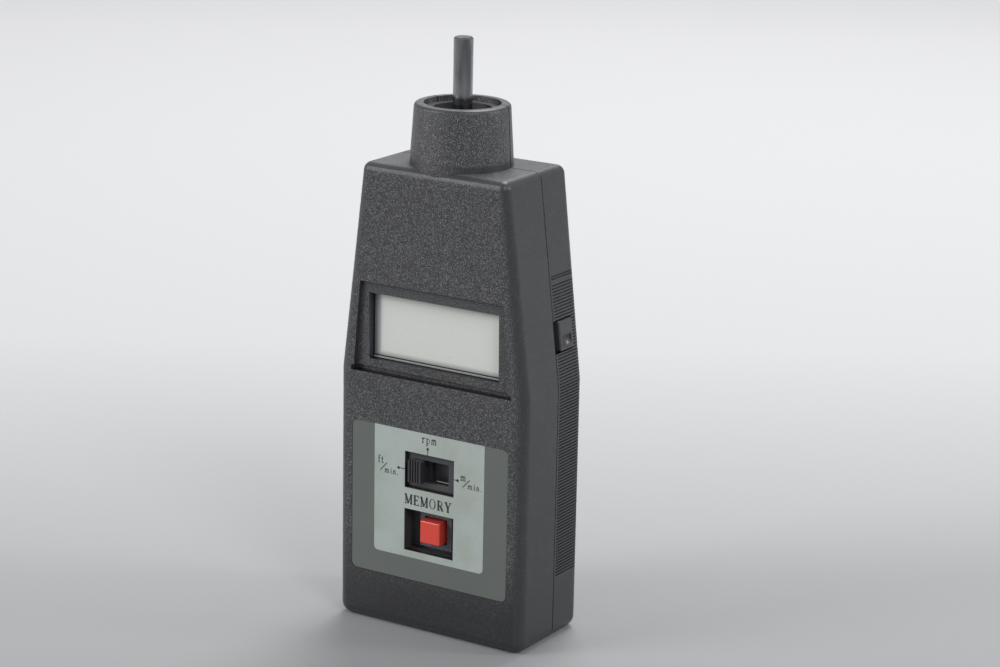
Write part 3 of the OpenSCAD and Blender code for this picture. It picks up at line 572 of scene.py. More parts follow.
@dataclass(frozen=True)
class CircuitBoard(Finish):
    """Circuit board: solder mask over straight traces, with tinned pads.

    Attributes:
        copper: Colour of the mask over copper.
        solder: Colour of the pads.
        lanes: Scale of the traces.
        pads: Pads to a metre.
    """

    copper: Rgb = (0.05, 0.24, 0.11)
    solder: Rgb = (0.6, 0.6, 0.58)
    lanes: float = 130.0
    pads: float = 240.0

    def build(self) -> bpy.types.Material:
        """Builds the material.

        Returns:
            The material.
        """
        g = Graph(self.name)
        waves = [g.tree.nodes.new("ShaderNodeTexWave") for _ in range(2)]
        for node, direction in zip(waves, ("X", "Z")):
            node.bands_direction = direction
            g.put(node.inputs["Vector"], g.coords)
            node.inputs["Scale"].default_value = self.lanes
        pick = g.span(g.noise(90.0, 0.0), 0.49, 0.51)
        blend = g.mix(pick, waves[0].outputs["Color"], waves[1].outputs["Color"])
        trace = g.span(blend, 0.52, 0.6)
        base = g.mix(trace, self.colour, self.copper)
        near, random = g.cells(self.pads)
        pad = g.math("MULTIPLY", g.span(near, 0.16, 0.19, 1.0, 0.0), g.span(random, 0.55, 0.57))
        base = g.mix(pad, base, self.solder)
        normal = g.bump(g.math("MAXIMUM", trace, pad), 0.00004, 0.6)
        return g.shade(Base_Color=base, Roughness=self.rough, Metallic=g.math("MULTIPLY", pad, 0.9),
                       Normal=normal)


@dataclass(frozen=True)
class FloorPaper(Finish):
    """Seamless pale paper with painted shade that darkens it toward the front of the set.

    Attributes:
        near: Colour at the front, darkest with painted shade.
        middle: Colour beside the object, partly darkened by painted shade.
        direction: Direction across the floor from front to back.
        stops: Distances in metres of the near, the middle and the far colour.
    """

    near: Rgb = (0.27, 0.274, 0.278)
    middle: Rgb = (0.5, 0.504, 0.508)
    direction: Point = (-0.5325, 0.8464)
    stops: Tuple[float, float, float] = (-0.08, 0.34, 1.2)

    def build(self) -> bpy.types.Material:
        """Builds the material.

        Returns:
            The material.
        """
        g = Graph(self.name)
        # Painted shade: the paper darkens from the far colour to the middle and near colours toward the
        # front.
        along = g.math("ADD", g.math("MULTIPLY", g.axis("X"), self.direction[0]),
                       g.math("MULTIPLY", g.axis("Y"), self.direction[1]))
        base = g.mix(g.span(along, self.stops[0], self.stops[1]), self.near, self.middle)
        base = g.mix(g.span(along, self.stops[1], self.stops[2]), base, self.colour)
        rough = g.span(g.noise(40.0, 3.0), 0.3, 0.7, self.rough - 0.05, self.rough + 0.05)
        normal = g.bump(g.noise(900.0, 3.0), 0.00004, 0.2)
        return g.shade(Base_Color=base, Roughness=rough, Normal=normal, Specular_IOR_Level=0.25)


@dataclass(frozen=True)
class Finishes:
    """All finishes of the object, by the record's slot or by the use that new pieces make of them."""

    by_slot: Dict[str, Finish] = field(default_factory=lambda: {
        "housing": MouldedPlastic("charcoal_moulding", linear(51, 52, 55), 0.44),
        "cover": MouldedPlastic("cover_moulding", linear(50, 51, 54), 0.4),
        "label": PrintedFilm("label_border", linear(94, 100, 98), 0.5, linear(98, 102, 97)),
        "display": DisplayGlass("display_glass", linear(208, 211, 206), 0.3),
        "holder": SmoothPlastic("black_moulding", linear(62, 62, 66), 0.4),
        "connector": SmoothPlastic("elastomer_strip", linear(206, 150, 160), 0.7),
        "board": CircuitBoard("circuit_board", (0.012, 0.10, 0.045), 0.4),
        "chip": SmoothPlastic("chip_epoxy", linear(34, 34, 36), 0.6),
        "can": GroundMetal("crystal_can", (0.62, 0.62, 0.64), 0.28),
        "capacitor": SmoothPlastic("capacitor_sleeve", linear(40, 52, 96), 0.35, 0.3),
        "switch_case": SmoothPlastic("switch_moulding", linear(66, 66, 70), 0.38),
        "knob": SmoothPlastic("knob_moulding", linear(50, 49, 52), 0.36, 0.1, 0.25),
        "red_cap": SmoothPlastic("red_cap", linear(212, 66, 52), 0.32, 0.25, 0.12, linear(232, 130, 112)),
        "button": SmoothPlastic("button_moulding", linear(58, 58, 61), 0.36, 0.15, 0.3),
        # The shaft's dark base and near-black streaks: partly ground marks, partly painted reflection of a
        # dark surrounding.
        "shaft": GroundMetal("ground_shaft", (0.34, 0.345, 0.37), 0.17, (1.0, 1.0, 0.12),
                             (0.02, 0.021, 0.025)),
        "bearing_steel": GroundMetal("bearing_steel", (0.56, 0.56, 0.58), 0.2, (1.0, 1.0, 0.3)),
        "clip": GroundMetal("spring_steel", (0.12, 0.12, 0.13), 0.35, (1.0, 1.0, 1.0), (0.06, 0.06, 0.07)),
        "brass": GroundMetal("turned_brass", (0.62, 0.47, 0.2), 0.28, (1.0, 1.0, 1.0), (0.4, 0.28, 0.1)),
        "disc": GroundMetal("etched_disc", (0.42, 0.43, 0.45), 0.35, (1.0, 1.0, 1.0)),
        "cell_sleeve": SmoothPlastic("cell_sleeve", linear(52, 70, 120), 0.3, 0.4),
        "contact": GroundMetal("nickel_contact", (0.66, 0.64, 0.6), 0.25, (0.05, 1.0, 1.0)),
        "screw": GroundMetal("zinc_screw", (0.5, 0.5, 0.5), 0.35, (1.0, 1.0, 1.0)),
    })
    panel: Finish = PrintedFilm("label_panel", linear(166, 176, 173), 0.48, linear(144, 148, 132))
    ink: Finish = PrintedFilm("legend_ink", linear(52, 58, 58), 0.5, linear(58, 62, 58))
    # Pale bar of painted highlight for the lit ledge at the foot of the display window.
    ledge: Finish = SmoothPlastic("window_ledge_highlight", linear(150, 151, 150), 0.4)
    # Near-black painted shade: the dark frame and the shadow bar in the display window, and the gap round the
    # switch.
    lining: Finish = SmoothPlastic("window_lining", linear(24, 24, 26), 0.55)
    # Paler than the moulding: painted light that offsets the shade of the well round the red cap.
    rim: Finish = SmoothPlastic("well_rim_painted_light", linear(92, 91, 98), 0.4)
    wiper: Finish = GroundMetal("switch_wiper", (0.66, 0.64, 0.6), 0.25, (0.05, 1.0, 1.0))
    floor: Finish = FloorPaper("floor_paper", (0.62, 0.62, 0.628), 0.8)


def corners(box: Sequence[Sequence[float]]) -> List[np.ndarray]:
    """Lowest and highest corner of a node's box in millimetres.

    Args:
        box: The corners in metres.

    Returns:
        The corners in millimetres.
    """
    return [np.array(corner) / MM for corner in box]


def add_mesh(name: str, points: np.ndarray, faces: Iterable[Sequence[int]], finish: Finish,
             slot: Slot | None) -> bpy.types.Object:
    """Makes an object at the origin from points in metres, with its faces turned outward.

    Args:
        name: Name of the piece.
        points: Array of points.
        faces: Point numbers of each face.
        finish: Its finish.
        slot: The record's slot for a piece of the object, which is then attached to CARRIER, or None for a
            stage piece.

    Returns:
        The object.
    """
    mesh = bpy.data.meshes.new(name)
    mesh.from_pydata(np.asarray(points, float).tolist(), [], [list(map(int, f)) for f in faces])
    work = bmesh.new()
    work.from_mesh(mesh)
    bmesh.ops.remove_doubles(work, verts=work.verts, dist=1e-7)
    bmesh.ops.recalc_face_normals(work, faces=work.faces)
    work.to_mesh(mesh)
    work.free()
    mesh.materials.append(finish.build())
    piece = bpy.data.objects.new(name, mesh)
    bpy.context.scene.collection.objects.link(piece)
    if slot is not None:
        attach(piece, CARRIER)
        LOG.info("%s: %d vertices on %s", name, len(mesh.vertices), CARRIER)
    return piece


def prism(outline: np.ndarray, faces: np.ndarray, front: float,
          back: float) -> Tuple[np.ndarray, List[List[int]]]:
    """Gives a flat drawing a thickness: front and back faces, and a wall along each open edge.

    Args:
        outline: Points (x, z) of the drawing in metres.
        faces: Quads of the drawing.
        front: Y of the front.
        back: Y of the back.

    Returns:
        Points and faces of the closed solid.
    """
    count = len(outline)
    ys = np.repeat([front, back], count)
    flat = np.tile(outline, (2, 1))
    points = np.column_stack([flat[:, 0], ys, flat[:, 1]])
    edges = np.concatenate([np.column_stack([faces[:, i], faces[:, (i + 1) % 4]]) for i in range(4)])
    seen = {tuple(e) for e in edges.tolist()}
    walls = [[a, b, b + count, a + count] for a, b in edges.tolist() if (b, a) not in seen]
    return points, [*faces.tolist(), *(faces[:, ::-1] + count).tolist(), *walls]


def ribbon(path: Sequence[Point], width: float) -> Drawing:
    """A pen stroke along a path: p +- n(p) * width / 2, with n the unit normal of the mitred path.

    Args:
        path: Points of the stroke.
        width: Width of the pen.

    Returns:
        Points and quads.
    """
    line = np.asarray(path, float)
    steps = np.diff(line, axis=0)
    steps /= np.linalg.norm(steps, axis=1)[:, None]
    ways = np.vstack([steps[:1], steps[:-1] + steps[1:], steps[-1:]])
    ways /= np.linalg.norm(ways, axis=1)[:, None]
    leans = np.clip(np.concatenate([[1.0], np.sum(ways[1:-1] * steps[1:], axis=1), [1.0]]), 0.5, 1.0)
    normals = np.column_stack([-ways[:, 1], ways[:, 0]]) * (width / 2 / leans)[:, None]
    points = np.vstack([line - normals, line + normals])
    i, n = np.arange(len(line) - 1), len(line)
    return points, np.column_stack([i, i + 1, i + 1 + n, i + n])


def ring_sector(centre: Point, outer: Point, inner: Point, start: float = 0.0, end: float = 360.0,
                count: int = 24) -> Drawing:
    """Part of an elliptic ring: c + r * (cos a, sin a), from its inner radii to its outer ones.

    Args:
        centre: Centre of both ellipses.
        outer: Outer radii.
        inner: Inner radii.
        start: First angle in degrees.
        end: Last angle in degrees.
        count: Number of quads.

    Returns:
        Points and quads.
    """
    angles = np.radians(np.linspace(start, end, count + 1))
    unit = np.column_stack([np.cos(angles), np.sin(angles)])
    points = np.vstack([np.array(centre) + unit * np.array(inner), np.array(centre) + unit * np.array(outer)])
    i, n = np.arange(count), count + 1
    return points, np.column_stack([i, i + 1, i + 1 + n, i + n])


def joined(parts: Sequence[Drawing]) -> Drawing:
    """Puts several drawings into one.

    Args:
        parts: Points and quads of each.

    Returns:
        Points and quads of them all.
    """
    starts = np.cumsum([0] + [len(p) for p, _ in parts[:-1]])
    return np.vstack([p for p, _ in parts]), np.vstack([f + s for (_, f), s in zip(parts, starts)])


class Lettering:
    """A small serif pen alphabet. Capitals stand 1 high, small letters 0.62 high.

    THICK, THIN and SERIF are the pens of the capitals, PEN and FOOT those of the small letters. STROKES
    gives each letter's width and strokes, and ROUNDS its ring: centre, outer and inner radii, and angles.
    """

    THICK = 0.27
    THIN = 0.12
    SERIF = 0.09
    PEN = 0.145
    FOOT = 0.085
    STROKES: Dict[str, Tuple[float, List[Stroke]]] = {
        "M": (1.12, [([(.16, 0), (.16, 1)], THIN), ([(.96, 0), (.96, 1)], THICK),
                     ([(.14, .98), (.54, .06)], THICK), ([(.54, .06), (.94, .98)], THIN),
                     ([(0, .03), (.32, .03)], SERIF), ([(.76, .03), (1.12, .03)], SERIF),
                     ([(0, .97), (.24, .97)], SERIF), ([(.86, .97), (1.12, .97)], SERIF)]),
        "E": (.88, [([(.22, 0), (.22, 1)], THICK), ([(.04, .97), (.8, .97)], SERIF),
                    ([(.04, .03), (.84, .03)], SERIF), ([(.2, .51), (.58, .51)], SERIF),
                    ([(.78, 1), (.78, .74)], SERIF), ([(.82, 0), (.82, .28)], SERIF),
                    ([(.58, .38), (.58, .64)], SERIF)]),
        "R": (.96, [([(.22, 0), (.22, 1)], THICK), ([(.04, .97), (.46, .97)], SERIF),
                    ([(.04, .03), (.42, .03)], SERIF), ([(.2, .5), (.46, .5)], SERIF),
                    ([(.5, .48), (.8, .04)], THICK), ([(.72, .03), (.96, .03)], SERIF)]),
        "Y": (1.0, [([(.5, 0), (.5, .46)], THICK), ([(.17, .98), (.5, .42)], THICK),
                    ([(.84, .98), (.5, .42)], THIN), ([(.32, .03), (.68, .03)], SERIF),
                    ([(0, .97), (.36, .97)], SERIF), ([(.68, .97), (1.0, .97)], SERIF)]),
        "r": (.56, [([(.2, 0), (.2, .62)], PEN), ([(.2, .4), (.3, .55), (.42, .61), (.54, .58)], PEN),
                    ([(.04, .03), (.38, .03)], FOOT), ([(.06, .6), (.2, .6)], FOOT)]),
        "p": (.72, [([(.2, -.26), (.2, .62)], PEN), ([(.04, -.23), (.38, -.23)], FOOT),
                    ([(.06, .6), (.2, .6)], FOOT)]),
        "m": (1.0, [([(.18, 0), (.18, .62)], PEN),
                    ([(.18, .44), (.3, .58), (.42, .58), (.5, .46), (.5, 0)], PEN),
                    ([(.5, .44), (.62, .58), (.74, .58), (.82, .46), (.82, 0)], PEN),
                    ([(.04, .03), (.3, .03)], FOOT), ([(.38, .03), (.62, .03)], FOOT),
                    ([(.7, .03), (.94, .03)], FOOT)]),
        "n": (.7, [([(.18, 0), (.18, .62)], PEN),
                   ([(.18, .44), (.3, .58), (.42, .58), (.5, .46), (.5, 0)], PEN),
                   ([(.04, .03), (.3, .03)], FOOT), ([(.38, .03), (.64, .03)], FOOT)]),
        "i": (.38, [([(.2, 0), (.2, .62)], PEN), ([(.06, .03), (.34, .03)], FOOT),
                    ([(.08, .6), (.2, .6)], FOOT)]),
        "f": (.52, [([(.24, 0), (.24, .8), (.32, .95), (.5, .95)], PEN), ([(.06, .58), (.44, .58)], FOOT),
                    ([(.08, .03), (.42, .03)], FOOT)]),
        "t": (.5, [([(.22, .86), (.22, .14), (.3, .03), (.46, .07)], PEN), ([(.04, .58), (.42, .58)], FOOT)]),
        ".": (.3, []), "O": (1.02, []),
    }
    ROUNDS: Dict[str, Tuple[Point, Point, Point, float, float]] = {
        "O": ((.51, .5), (.47, .52), (.30, .46), 0.0, 360.0),
        "R": ((.44, .735), (.36, .265), (.20, .205), -90.0, 90.0),
        "p": ((.4, .3), (.27, .33), (.17, .25), -180.0, 180.0),
        "i": ((.2, .84), (.08, .08), (.01, .01), 0.0, 360.0),
        ".": ((.14, .06), (.08, .08), (.01, .01), 0.0, 360.0),
    }

    def draw(self, text: str, low: Point, high: Point, top: float, bottom: float = 0.0,
             gap: float = 0.15) -> Drawing:
        """Draws a word so that it fills a box.

        Args:
            text: The word.
            low: Lower left corner of the box in millimetres.
            high: Upper right corner of the box.
            top: Height of the word's tallest letter in the alphabet's units.
            bottom: Height of its lowest point.
            gap: Space between letters.

        Returns:
            Points in millimetres and quads.
        """
        parts: List[Drawing] = []
        x = 0.0
        for letter in text:
            width, strokes = self.STROKES[letter]
            drawn = [ribbon(path, pen) for path, pen in strokes]
            if letter in self.ROUNDS:
                centre, outer, inner, start, end = self.ROUNDS[letter]
                drawn.append(ring_sector(centre, outer, inner, start, end))
            parts += [(points + np.array([x, 0.0]), quads) for points, quads in drawn]
            x += width + gap
        points, quads = joined(parts)
        scale = np.array([(high[0] - low[0]) / (x - gap), (high[1] - low[1]) / (top - bottom)])
        return (points - np.array([0.0, bottom])) * scale + np.array(low), quads


@dataclass
class PhotoCamera:
    """Camera at the photograph's place, fitted to the object's edges.

    Attributes:
        place: Position in millimetres.
        right: Unit vector to the picture's right.
        up: Unit vector to the picture's top.
        forward: Unit vector into the picture.
        focal: Focal length in pixels of a picture 1000 wide.
        sensor: Sensor width in millimetres.
    """

    place: Tuple[float, float, float] = (485.836, -748.136, 345.137)
    right: Tuple[float, float, float] = (0.84354106, 0.53674519, 0.01852246)
    up: Tuple[float, float, float] = (-0.15766035, 0.21451323, 0.96391249)
    forward: Tuple[float, float, float] = (-0.51340208, 0.81602002, -0.26557415)
    focal: float = 2836.49
    sensor: float = 36.0

    def build(self) -> None:
        """Makes the camera and gives it to the scene."""
        data = bpy.data.cameras.new("photo_camera")
        data.sensor_width = self.sensor
        data.lens = self.focal * self.sensor / 1000.0
        data.clip_start, data.clip_end = 0.01, 50.0
        camera = bpy.data.objects.new("photo_camera", data)
        bpy.context.scene.collection.objects.link(camera)
        axes = Matrix([self.right, self.up, [-v for v in self.forward]]).transposed().to_4x4()
        camera.matrix_world = Matrix.Translation(Vector(self.place) * MM) @ axes
        bpy.context.scene.camera = camera


@dataclass(frozen=True)
class Lamp:
    """A round soft light.

    Attributes:
        name: Name of the light.
        place: Position in metres.
        size: Diameter in metres.
        power: Power in watts.
        colour: Linear colour.
    """

    name: str
    place: Point3
    size: float
    power: float
    colour: Rgb = (1.0, 1.0, 1.0)

    def build(self, aim: Point3) -> None:
        """Makes the light and turns it to a point.

        Args:
            aim: The point.
        """
        data = bpy.data.lights.new(self.name, "AREA")
        data.shape, data.size, data.energy, data.color = "DISK", self.size, self.power, self.colour
        lamp = bpy.data.objects.new(self.name, data)
        bpy.context.scene.collection.objects.link(lamp)
        lamp.location = self.place
        lamp.rotation_euler = (Vector(aim) - Vector(self.place)).to_track_quat("-Z", "Y").to_euler()


@dataclass
class Studio:
    """Pale floor, soft lights and a pale surrounding.

    Attributes:
        floor_half: Half of the floor's side in metres.
        floor_cells: Cells along the floor's side.
        sky: Strength of the surrounding light.
        sky_colour: Its colour.
        aim: Point that the lights are turned to.
        lamps: The soft lights.
    """

    floor_half: float = 12.0
    floor_cells: int = 8
    sky: float = 0.5
    sky_colour: Rgb = (0.97, 0.98, 1.0)
    aim: Point3 = (0.0, 0.0, 0.1)
    lamps: Tuple[Lamp, ...] = (
        Lamp("key", (-1.35, -1.5, 1.0), 1.0, 25.0, (1.0, 0.99, 0.97)),
        Lamp("edge", (1.45, -0.9, 1.3), 0.8, 12.0),
        Lamp("overhead", (-0.2, 0.9, 1.7), 1.0, 26.0),
        Lamp("side", (1.6, 0.75, 0.8), 0.45, 9.0, (0.97, 0.98, 1.0)),
    )

    def floor(self, finish: Finish) -> None:
        """Makes the floor: a square grid (x, y, 0) whose faces look up.

        Args:
            finish: The floor's finish.
        """
        n = self.floor_cells
        side = np.linspace(-self.floor_half, self.floor_half, n + 1)
        xs, ys = np.meshgrid(side, side, indexing="ij")
        points = np.column_stack([xs.ravel(), ys.ravel(), np.zeros(xs.size)])
        i, j = (a.ravel() for a in np.meshgrid(np.arange(n), np.arange(n), indexing="ij"))
        corner = i * (n + 1) + j
        faces = np.column_stack([corner, corner + n + 1, corner + n + 2, corner + 1])
        floor = add_mesh("floor", points, faces, finish, None)
        if floor.data.polygons[0].normal.z < 0:
            floor.data.flip_normals()

    def build(self, finish: Finish) -> None:
        """Makes the floor, the lights and the surrounding.

        Args:
            finish: The floor's finish.
        """
        self.floor(finish)
        world = bpy.data.worlds.new("studio")
        world.use_nodes = True
        shader = world.node_tree.nodes["Background"]
        shader.inputs["Color"].default_value = (*self.sky_colour, 1.0)
        shader.inputs["Strength"].default_value = self.sky
        bpy.context.scene.world = world
        for lamp in self.lamps:
            lamp.build(self.aim)
        settings = bpy.context.scene.view_settings
        settings.view_transform, settings.look = "Standard", "None"


@dataclass
class Casing:
    """The moulded housing, its cover and everything inside: CAD nodes in their finishes."""

    def dress(self, nodes: Dict[str, bpy.types.Object], finishes: Finishes) -> None:
        """Puts each finish into the material slots of the CAD nodes that ask for it.

        Args:
            nodes: CAD nodes by name.
            finishes: All finishes.
        """
        built: Dict[str, bpy.types.Material] = {}
        for name in sorted(nodes):
            mesh = nodes[name].data
            for index, material in enumerate(mesh.materials):
                slot = material.name.split(".")[0]
                if slot not in built:
                    built[slot] = finishes.by_slot[slot].build()
                mesh.materials[index] = built[slot]
            LOG.info("%s: dressed as %s", name, slot)


@dataclass
class FaceLabel:
    """Print on the face label: the pale panel, and the legends with their dots and leader lines.

    Attributes:
        panel_half: Half of the panel's width.
        panel_low: Height of the panel's lower edge.
        corner: Radius of its lower corners.
        corner_points: Points along one of them.
        case_wall: Lap of the panel over the switch frame's upper and lower edges.
        tray_wall: Lap of the panel over the memory tray's edges.
        film: Thickness of a printed layer.
        pen: Width of the leader lines.
        dot: Radius of the dots.
        dot_hole: Radius of the closed hole at their middle.
        words: Name, text, lower left and upper right corner, highest and lowest point of each legend.
        lines: Name and ends of each slash and leader line.
        dots: Name and centre of each dot.
    """

    panel_half: float = 21.4
    panel_low: float = 25.6
    corner: float = 1.6
    corner_points: int = 9
    case_wall: float = 1.3
    tray_wall: float = 1.2
    film: float = 0.02
    pen: float = 0.3
    dot: float = 0.5
    dot_hole: float = 0.01
    words: Tuple[Tuple[str, str, Point, Point, float, float], ...] = (
        ("legend_rpm", "rpm", (-2.9, 65.2), (3.0, 67.7), 0.62, -0.26),
        ("legend_memory", "MEMORY", (-9.3, 44.0), (9.0, 47.4), 1.0, 0.0),
        ("legend_ft", "ft", (-20.1, 56.1), (-17.8, 58.6), 0.95, 0.0),
        ("legend_min_left", "min.", (-17.5, 53.1), (-11.9, 55.0), 0.92, 0.0),
        ("legend_m", "m", (12.2, 55.9), (14.5, 57.5), 0.62, 0.0),
        ("legend_min_right", "min.", (15.1, 53.6), (20.6, 55.5), 0.92, 0.0),
    )
    lines: Tuple[Tuple[str, Point, Point], ...] = (
        ("slash_left", (-19.06, 53.66), (-16.42, 56.58)),
        ("slash_right", (13.23, 53.74), (15.87, 56.63)),
        ("leader_rpm", (-0.5, 64.07), (-0.5, 61.95)),
        ("leader_ft", (-11.84, 55.73), (-9.5, 55.73)),
        ("leader_m", (11.26, 55.67), (9.9, 55.67)),
    )
    dots: Tuple[Tuple[str, Point], ...] = (
        ("dot_rpm", (-0.5, 64.07)), ("dot_ft", (-11.84, 55.73)), ("dot_m", (11.26, 55.67)),
    )

    def panel(self, front: float, holes: Sequence[Tuple[float, float, float, float]], top: float,
              finish: Finish) -> None:
        """Makes the pale panel: a sheet in columns, each a run of rows that leaves the openings out.

        Args:
            front: Y of the label's front in metres.
            holes: Openings as x0, x1, z0, z1 in millimetres.
            top: Height of the panel's upper edge.
            finish: Its finish.
        """
        half, low, r = self.panel_half, self.panel_low, self.corner
        arc = np.radians(np.linspace(0, 90, self.corner_points))
        rounded = half - r + r * np.sin(arc)
        xs = np.unique(np.round(np.concatenate([-rounded, rounded, *[[h[0], h[1]] for h in holes]]), 5))
        drop = r - np.sqrt(np.clip(r * r - np.clip(np.abs(xs) - (half - r), 0, r) ** 2, 0, None))
        parts = []
        for a, b, za, zb in zip(xs[:-1], xs[1:], drop[:-1], drop[1:]):
            middle = (a + b) / 2
            cuts = sorted([h for h in holes if h[0] < middle < h[1]], key=lambda h: h[2])
            lows = [(low + za, low + zb), *[(h[3], h[3]) for h in cuts]]
            highs = [*[(h[2], h[2]) for h in cuts], (top, top)]
            for (l0, l1), (h0, h1) in zip(lows, highs):
                parts.append((np.array([(a, l0), (b, l1), (b, h1), (a, h0)]), np.array([[0, 1, 2, 3]])))
        points, quads = joined(parts)
        keys, back = np.unique(np.round(points, 5), axis=0, return_inverse=True)
        solid = prism(keys * MM, back.reshape(-1)[quads], front - self.film * MM, front + self.film * MM)
        add_mesh("label_panel", *solid, finish, Slot.LABEL)

    def printed(self, name: str, drawing: Drawing, front: float, finish: Finish) -> None:
        """Makes one printed mark that lies on the panel.

        Args:
            name: Name of the piece.
            drawing: Points in millimetres and quads.
            front: Y of the label's front in metres.
            finish: Its finish.
        """
        points, quads = drawing
        solid = prism(points * MM, quads, front - 2 * self.film * MM, front)
        add_mesh(name, *solid, finish, Slot.LABEL)

    def build(self, finishes: Finishes) -> None:
        """Builds the panel and all its marks.

        Args:
            finishes: All finishes.
        """
        low, high = corners(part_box("panel_label"))
        front = low[1] * MM
        case, tray = corners(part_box("slide_switch_body")), corners(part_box("memory_bezel"))
        rows = [(case[0][2] + self.case_wall, case[1][2] - self.case_wall),
                (tray[0][2] + self.tray_wall, tray[1][2] - self.tray_wall)]
        holes = [(tray[0][0] + self.tray_wall, tray[1][0] - self.tray_wall, a, b) for a, b in rows]
        self.panel(front, holes, high[2], finishes.panel)
        pen = Lettering()
        for name, text, corner, far, top, bottom in self.words:
            self.printed(name, pen.draw(text, corner, far, top, bottom), front, finishes.ink)
        for name, start, end in self.lines:
            self.printed(name, ribbon([start, end], self.pen), front, finishes.ink)
        for name, centre in self.dots:
            disc = ring_sector(centre, (self.dot, self.dot), (self.dot_hole, self.dot_hole))
            self.printed(name, disc, front, finishes.ink)


@dataclass
class DisplayWindow:
    """Trim inside the display window: at its foot a pale bar of painted highlight on the ledge and a black
    bar of painted shadow above it, and a dark frame of painted shade round it.

    Attributes:
        lap: How far the glass reaches behind the window's edge.
        depth: How far the ledge bar and the dark frame of painted shade stand in front of the glass.
        ledge_low: Height of the ledge's lower face over the window's foot.
        ledge: Height of its upper face.
        lining: Width of the dark frame of painted shade and of the bar of painted shadow.
        shadow_line_back: How far the bar of painted shadow stands behind the ledge's front.
        inset: Gap at the left end of the ledge bar and the bar of painted shadow.
        gap: Gap between the dark frame of painted shade and the housing.
        touch: Gap between the trim and what it rests against.
        turns: Radii of the long edges of the ledge bar, the bar of painted shadow and the dark frame of
            painted shade.
        steps: Points round a bar's profile.
    """

    lap: float = 2.0
    depth: float = 0.5
    ledge_low: float = 0.15
    ledge: float = 0.75
    lining: float = 0.35
    shadow_line_back: float = 0.1
    inset: float = 0.3
    gap: float = 0.02
    touch: float = 0.01
    turns: Point3 = (0.12, 0.08, 0.1)
    steps: int = 24

    def bar(self, name: str, low: Sequence[float], high: Sequence[float], radius: float,
            finish: Finish) -> None:
        """Makes a bar along X whose profile is a rectangle with round corners, swept end to end.

        Args:
            name: Name of the piece.
            low: Lowest corner in millimetres.
            high: Highest corner.
            radius: Radius of its long edges.
            finish: Its finish.
        """
        angles = np.radians((np.arange(self.steps) + 0.5) * 360 / self.steps)
        reach = np.array([(high[1] - low[1]) / 2, (high[2] - low[2]) / 2])
        signs = np.sign(np.column_stack([np.cos(angles), np.sin(angles)]))
        profile = signs * (reach - radius) + radius * np.column_stack([np.cos(angles), np.sin(angles)])
        centre = (np.array(low[1:]) + np.array(high[1:])) / 2
        n = len(profile)
        points = np.vstack([np.column_stack([np.full(n, x), profile + centre]) for x in (low[0], high[0])])
        i = np.arange(n)
        sides = np.column_stack([i, (i + 1) % n, (i + 1) % n + n, i + n]).tolist()
        ends = [list(range(n))[::-1], list(range(n, 2 * n))]
        add_mesh(name, points * MM, [*sides, *ends], finish, Slot.DISPLAY)

    def build(self, finishes: Finishes) -> None:
        """Builds the trim.

        Args:
            finishes: All finishes.
        """
        low, high = corners(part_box("lcd_glass"))
        left, right = low[0] + self.lap, high[0] - self.lap
        bottom, top = low[2] + self.lap, high[2] - self.lap
        front, back = low[1] - self.depth, low[1] - self.touch
        start, end = left + self.inset, right - self.gap
        ledge, shadow_line_top = bottom + self.ledge, bottom + self.ledge + self.lining
        ledge_turn, shadow_line_turn, shade_lining_turn = self.turns
        # Pale bar of painted highlight on the lit lower ledge.
        self.bar("window_ledge_highlight", (start, front, bottom + self.ledge_low), (end, back, ledge), ledge_turn,
                 finishes.ledge)
        # Black bar of painted shadow just above the ledge.
        self.bar("window_shadow_line", (start, front + self.shadow_line_back, ledge + self.touch), (end, back, shadow_line_top),
                 shadow_line_turn, finishes.lining)
        # Dark frame of painted shade along the window's top and sides.
        self.bar("window_shade_lining_top", (left + self.gap, front, top - self.lining),
                 (end, back, top - self.gap), shade_lining_turn, finishes.lining)
        for name, a, b in (("window_shade_lining_left", left + self.gap, left + self.lining),
                           ("window_shade_lining_right", right - self.lining, end)):
            self.bar(name, (a, front, shadow_line_top + self.gap), (b, back, top - self.lining - self.gap),
                     shade_lining_turn, finishes.lining)


@dataclass
class SwitchContacts:
    """Bright wiper rail that shows in the function switch's slot, under the knob's path.

    Attributes:
        start: Left end of the rail in millimetres.
        end: Right end of the rail.
        height: Height of the rail's middle.
        size: Thickness of the rail.
        sunk: Depth of the rail's front behind the switch frame.
    """

    start: float = 1.2
    end: float = 6.2
    height: float = 52.75
    size: float = 0.28
    sunk: float = 1.5

    def build(self, finishes: Finishes) -> None:
        """Builds the rail.

        Args:
            finishes: All finishes.
        """
        front = corners(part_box("slide_switch_body"))[0][1] + self.sunk
        points, quads = ribbon([(self.start, self.height), (self.end, self.height)], self.size)
        solid = prism(points * MM, quads, front * MM, (front + self.size) * MM)
        add_mesh("switch_wiper", *solid, finishes.wiper, Slot.CONTACT)


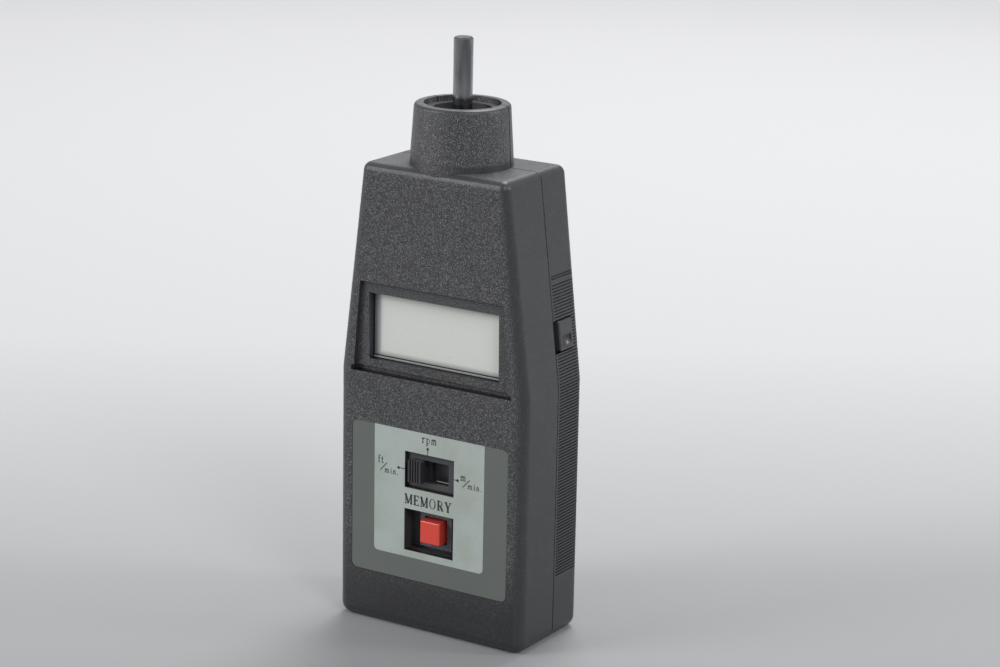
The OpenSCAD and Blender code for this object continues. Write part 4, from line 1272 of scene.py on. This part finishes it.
@dataclass
class OpeningFrames:
    """Square frames in the label's openings: the raised rim round the red cap, and a dark strip of painted
    shade that stands for a gap round the switch.

    Attributes:
        tray_floor: Thickness of the memory tray's floor.
        rim: Distance from the cap to the rim's outer edge.
        rim_height: Height of the rim over the tray's floor.
        clearance: Gap between the rim and the cap.
        margin: Distance from the switch case's edge to the strip of painted shade.
        shadow: Width of that strip of painted shade.
        film: Thickness of that strip of painted shade.
    """

    tray_floor: float = 1.0
    rim: float = 2.3
    rim_height: float = 1.5
    clearance: float = 0.5
    margin: float = 1.5
    shadow: float = 0.5
    film: float = 0.04

    def ring(self, name: str, hole: Drawing, width: float, depths: Point, finish: Finish) -> None:
        """Makes a rectangular frame: the hole's corners, and the same corners moved out by the width.

        Args:
            name: Name of the piece.
            hole: Lower left and upper right corner of its hole as (x, z) in millimetres.
            width: Width of the frame on each side.
            depths: Y of its front and its back in millimetres.
            finish: Its finish.
        """
        low, high = hole
        signs = np.array([(0, 0), (1, 0), (1, 1), (0, 1)])
        inner = low + signs * (high - low)
        points = np.vstack([inner, inner + (2 * signs - 1) * width])
        i = np.arange(4)
        quads = np.column_stack([i, (i + 1) % 4, (i + 1) % 4 + 4, i + 4])
        front, back = depths
        add_mesh(name, *prism(points * MM, quads, front * MM, back * MM), finish, Slot.HOLDER)

    def build(self, finishes: Finishes) -> None:
        """Builds both frames.

        Args:
            finishes: All finishes.
        """
        tray, cap = corners(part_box("memory_bezel")), corners(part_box("memory_button"))
        case = corners(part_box("slide_switch_body"))
        floor = tray[1][1] - self.tray_floor
        hole = (cap[0][[0, 2]] - self.clearance, cap[1][[0, 2]] + self.clearance)
        # The rim's paler finish is painted light against the shade in the well.
        self.ring("memory_rim", hole, self.rim - self.clearance, (floor - self.rim_height, floor),
                  finishes.rim)
        # Near-black strip of painted shade where a gap round the switch frame would show.
        inset = self.margin + self.shadow
        hole = (case[0][[0, 2]] + inset, case[1][[0, 2]] - inset)
        front = case[0][1]
        self.ring("switch_gap_shade", hole, self.shadow - self.film, (front - self.film, front),
                  finishes.lining)


def main() -> None:
    """Builds the scene, from the camera to the last piece."""
    logging.basicConfig(level=logging.INFO, format="%(message)s")
    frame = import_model()
    finishes = Finishes()
    PhotoCamera().build()
    Studio().build(finishes.floor)
    Casing().dress(frame["nodes"], finishes)
    FaceLabel().build(finishes)
    DisplayWindow().build(finishes)
    SwitchContacts().build(finishes)
    OpeningFrames().build(finishes)


if __name__ == "__main__":
    main()
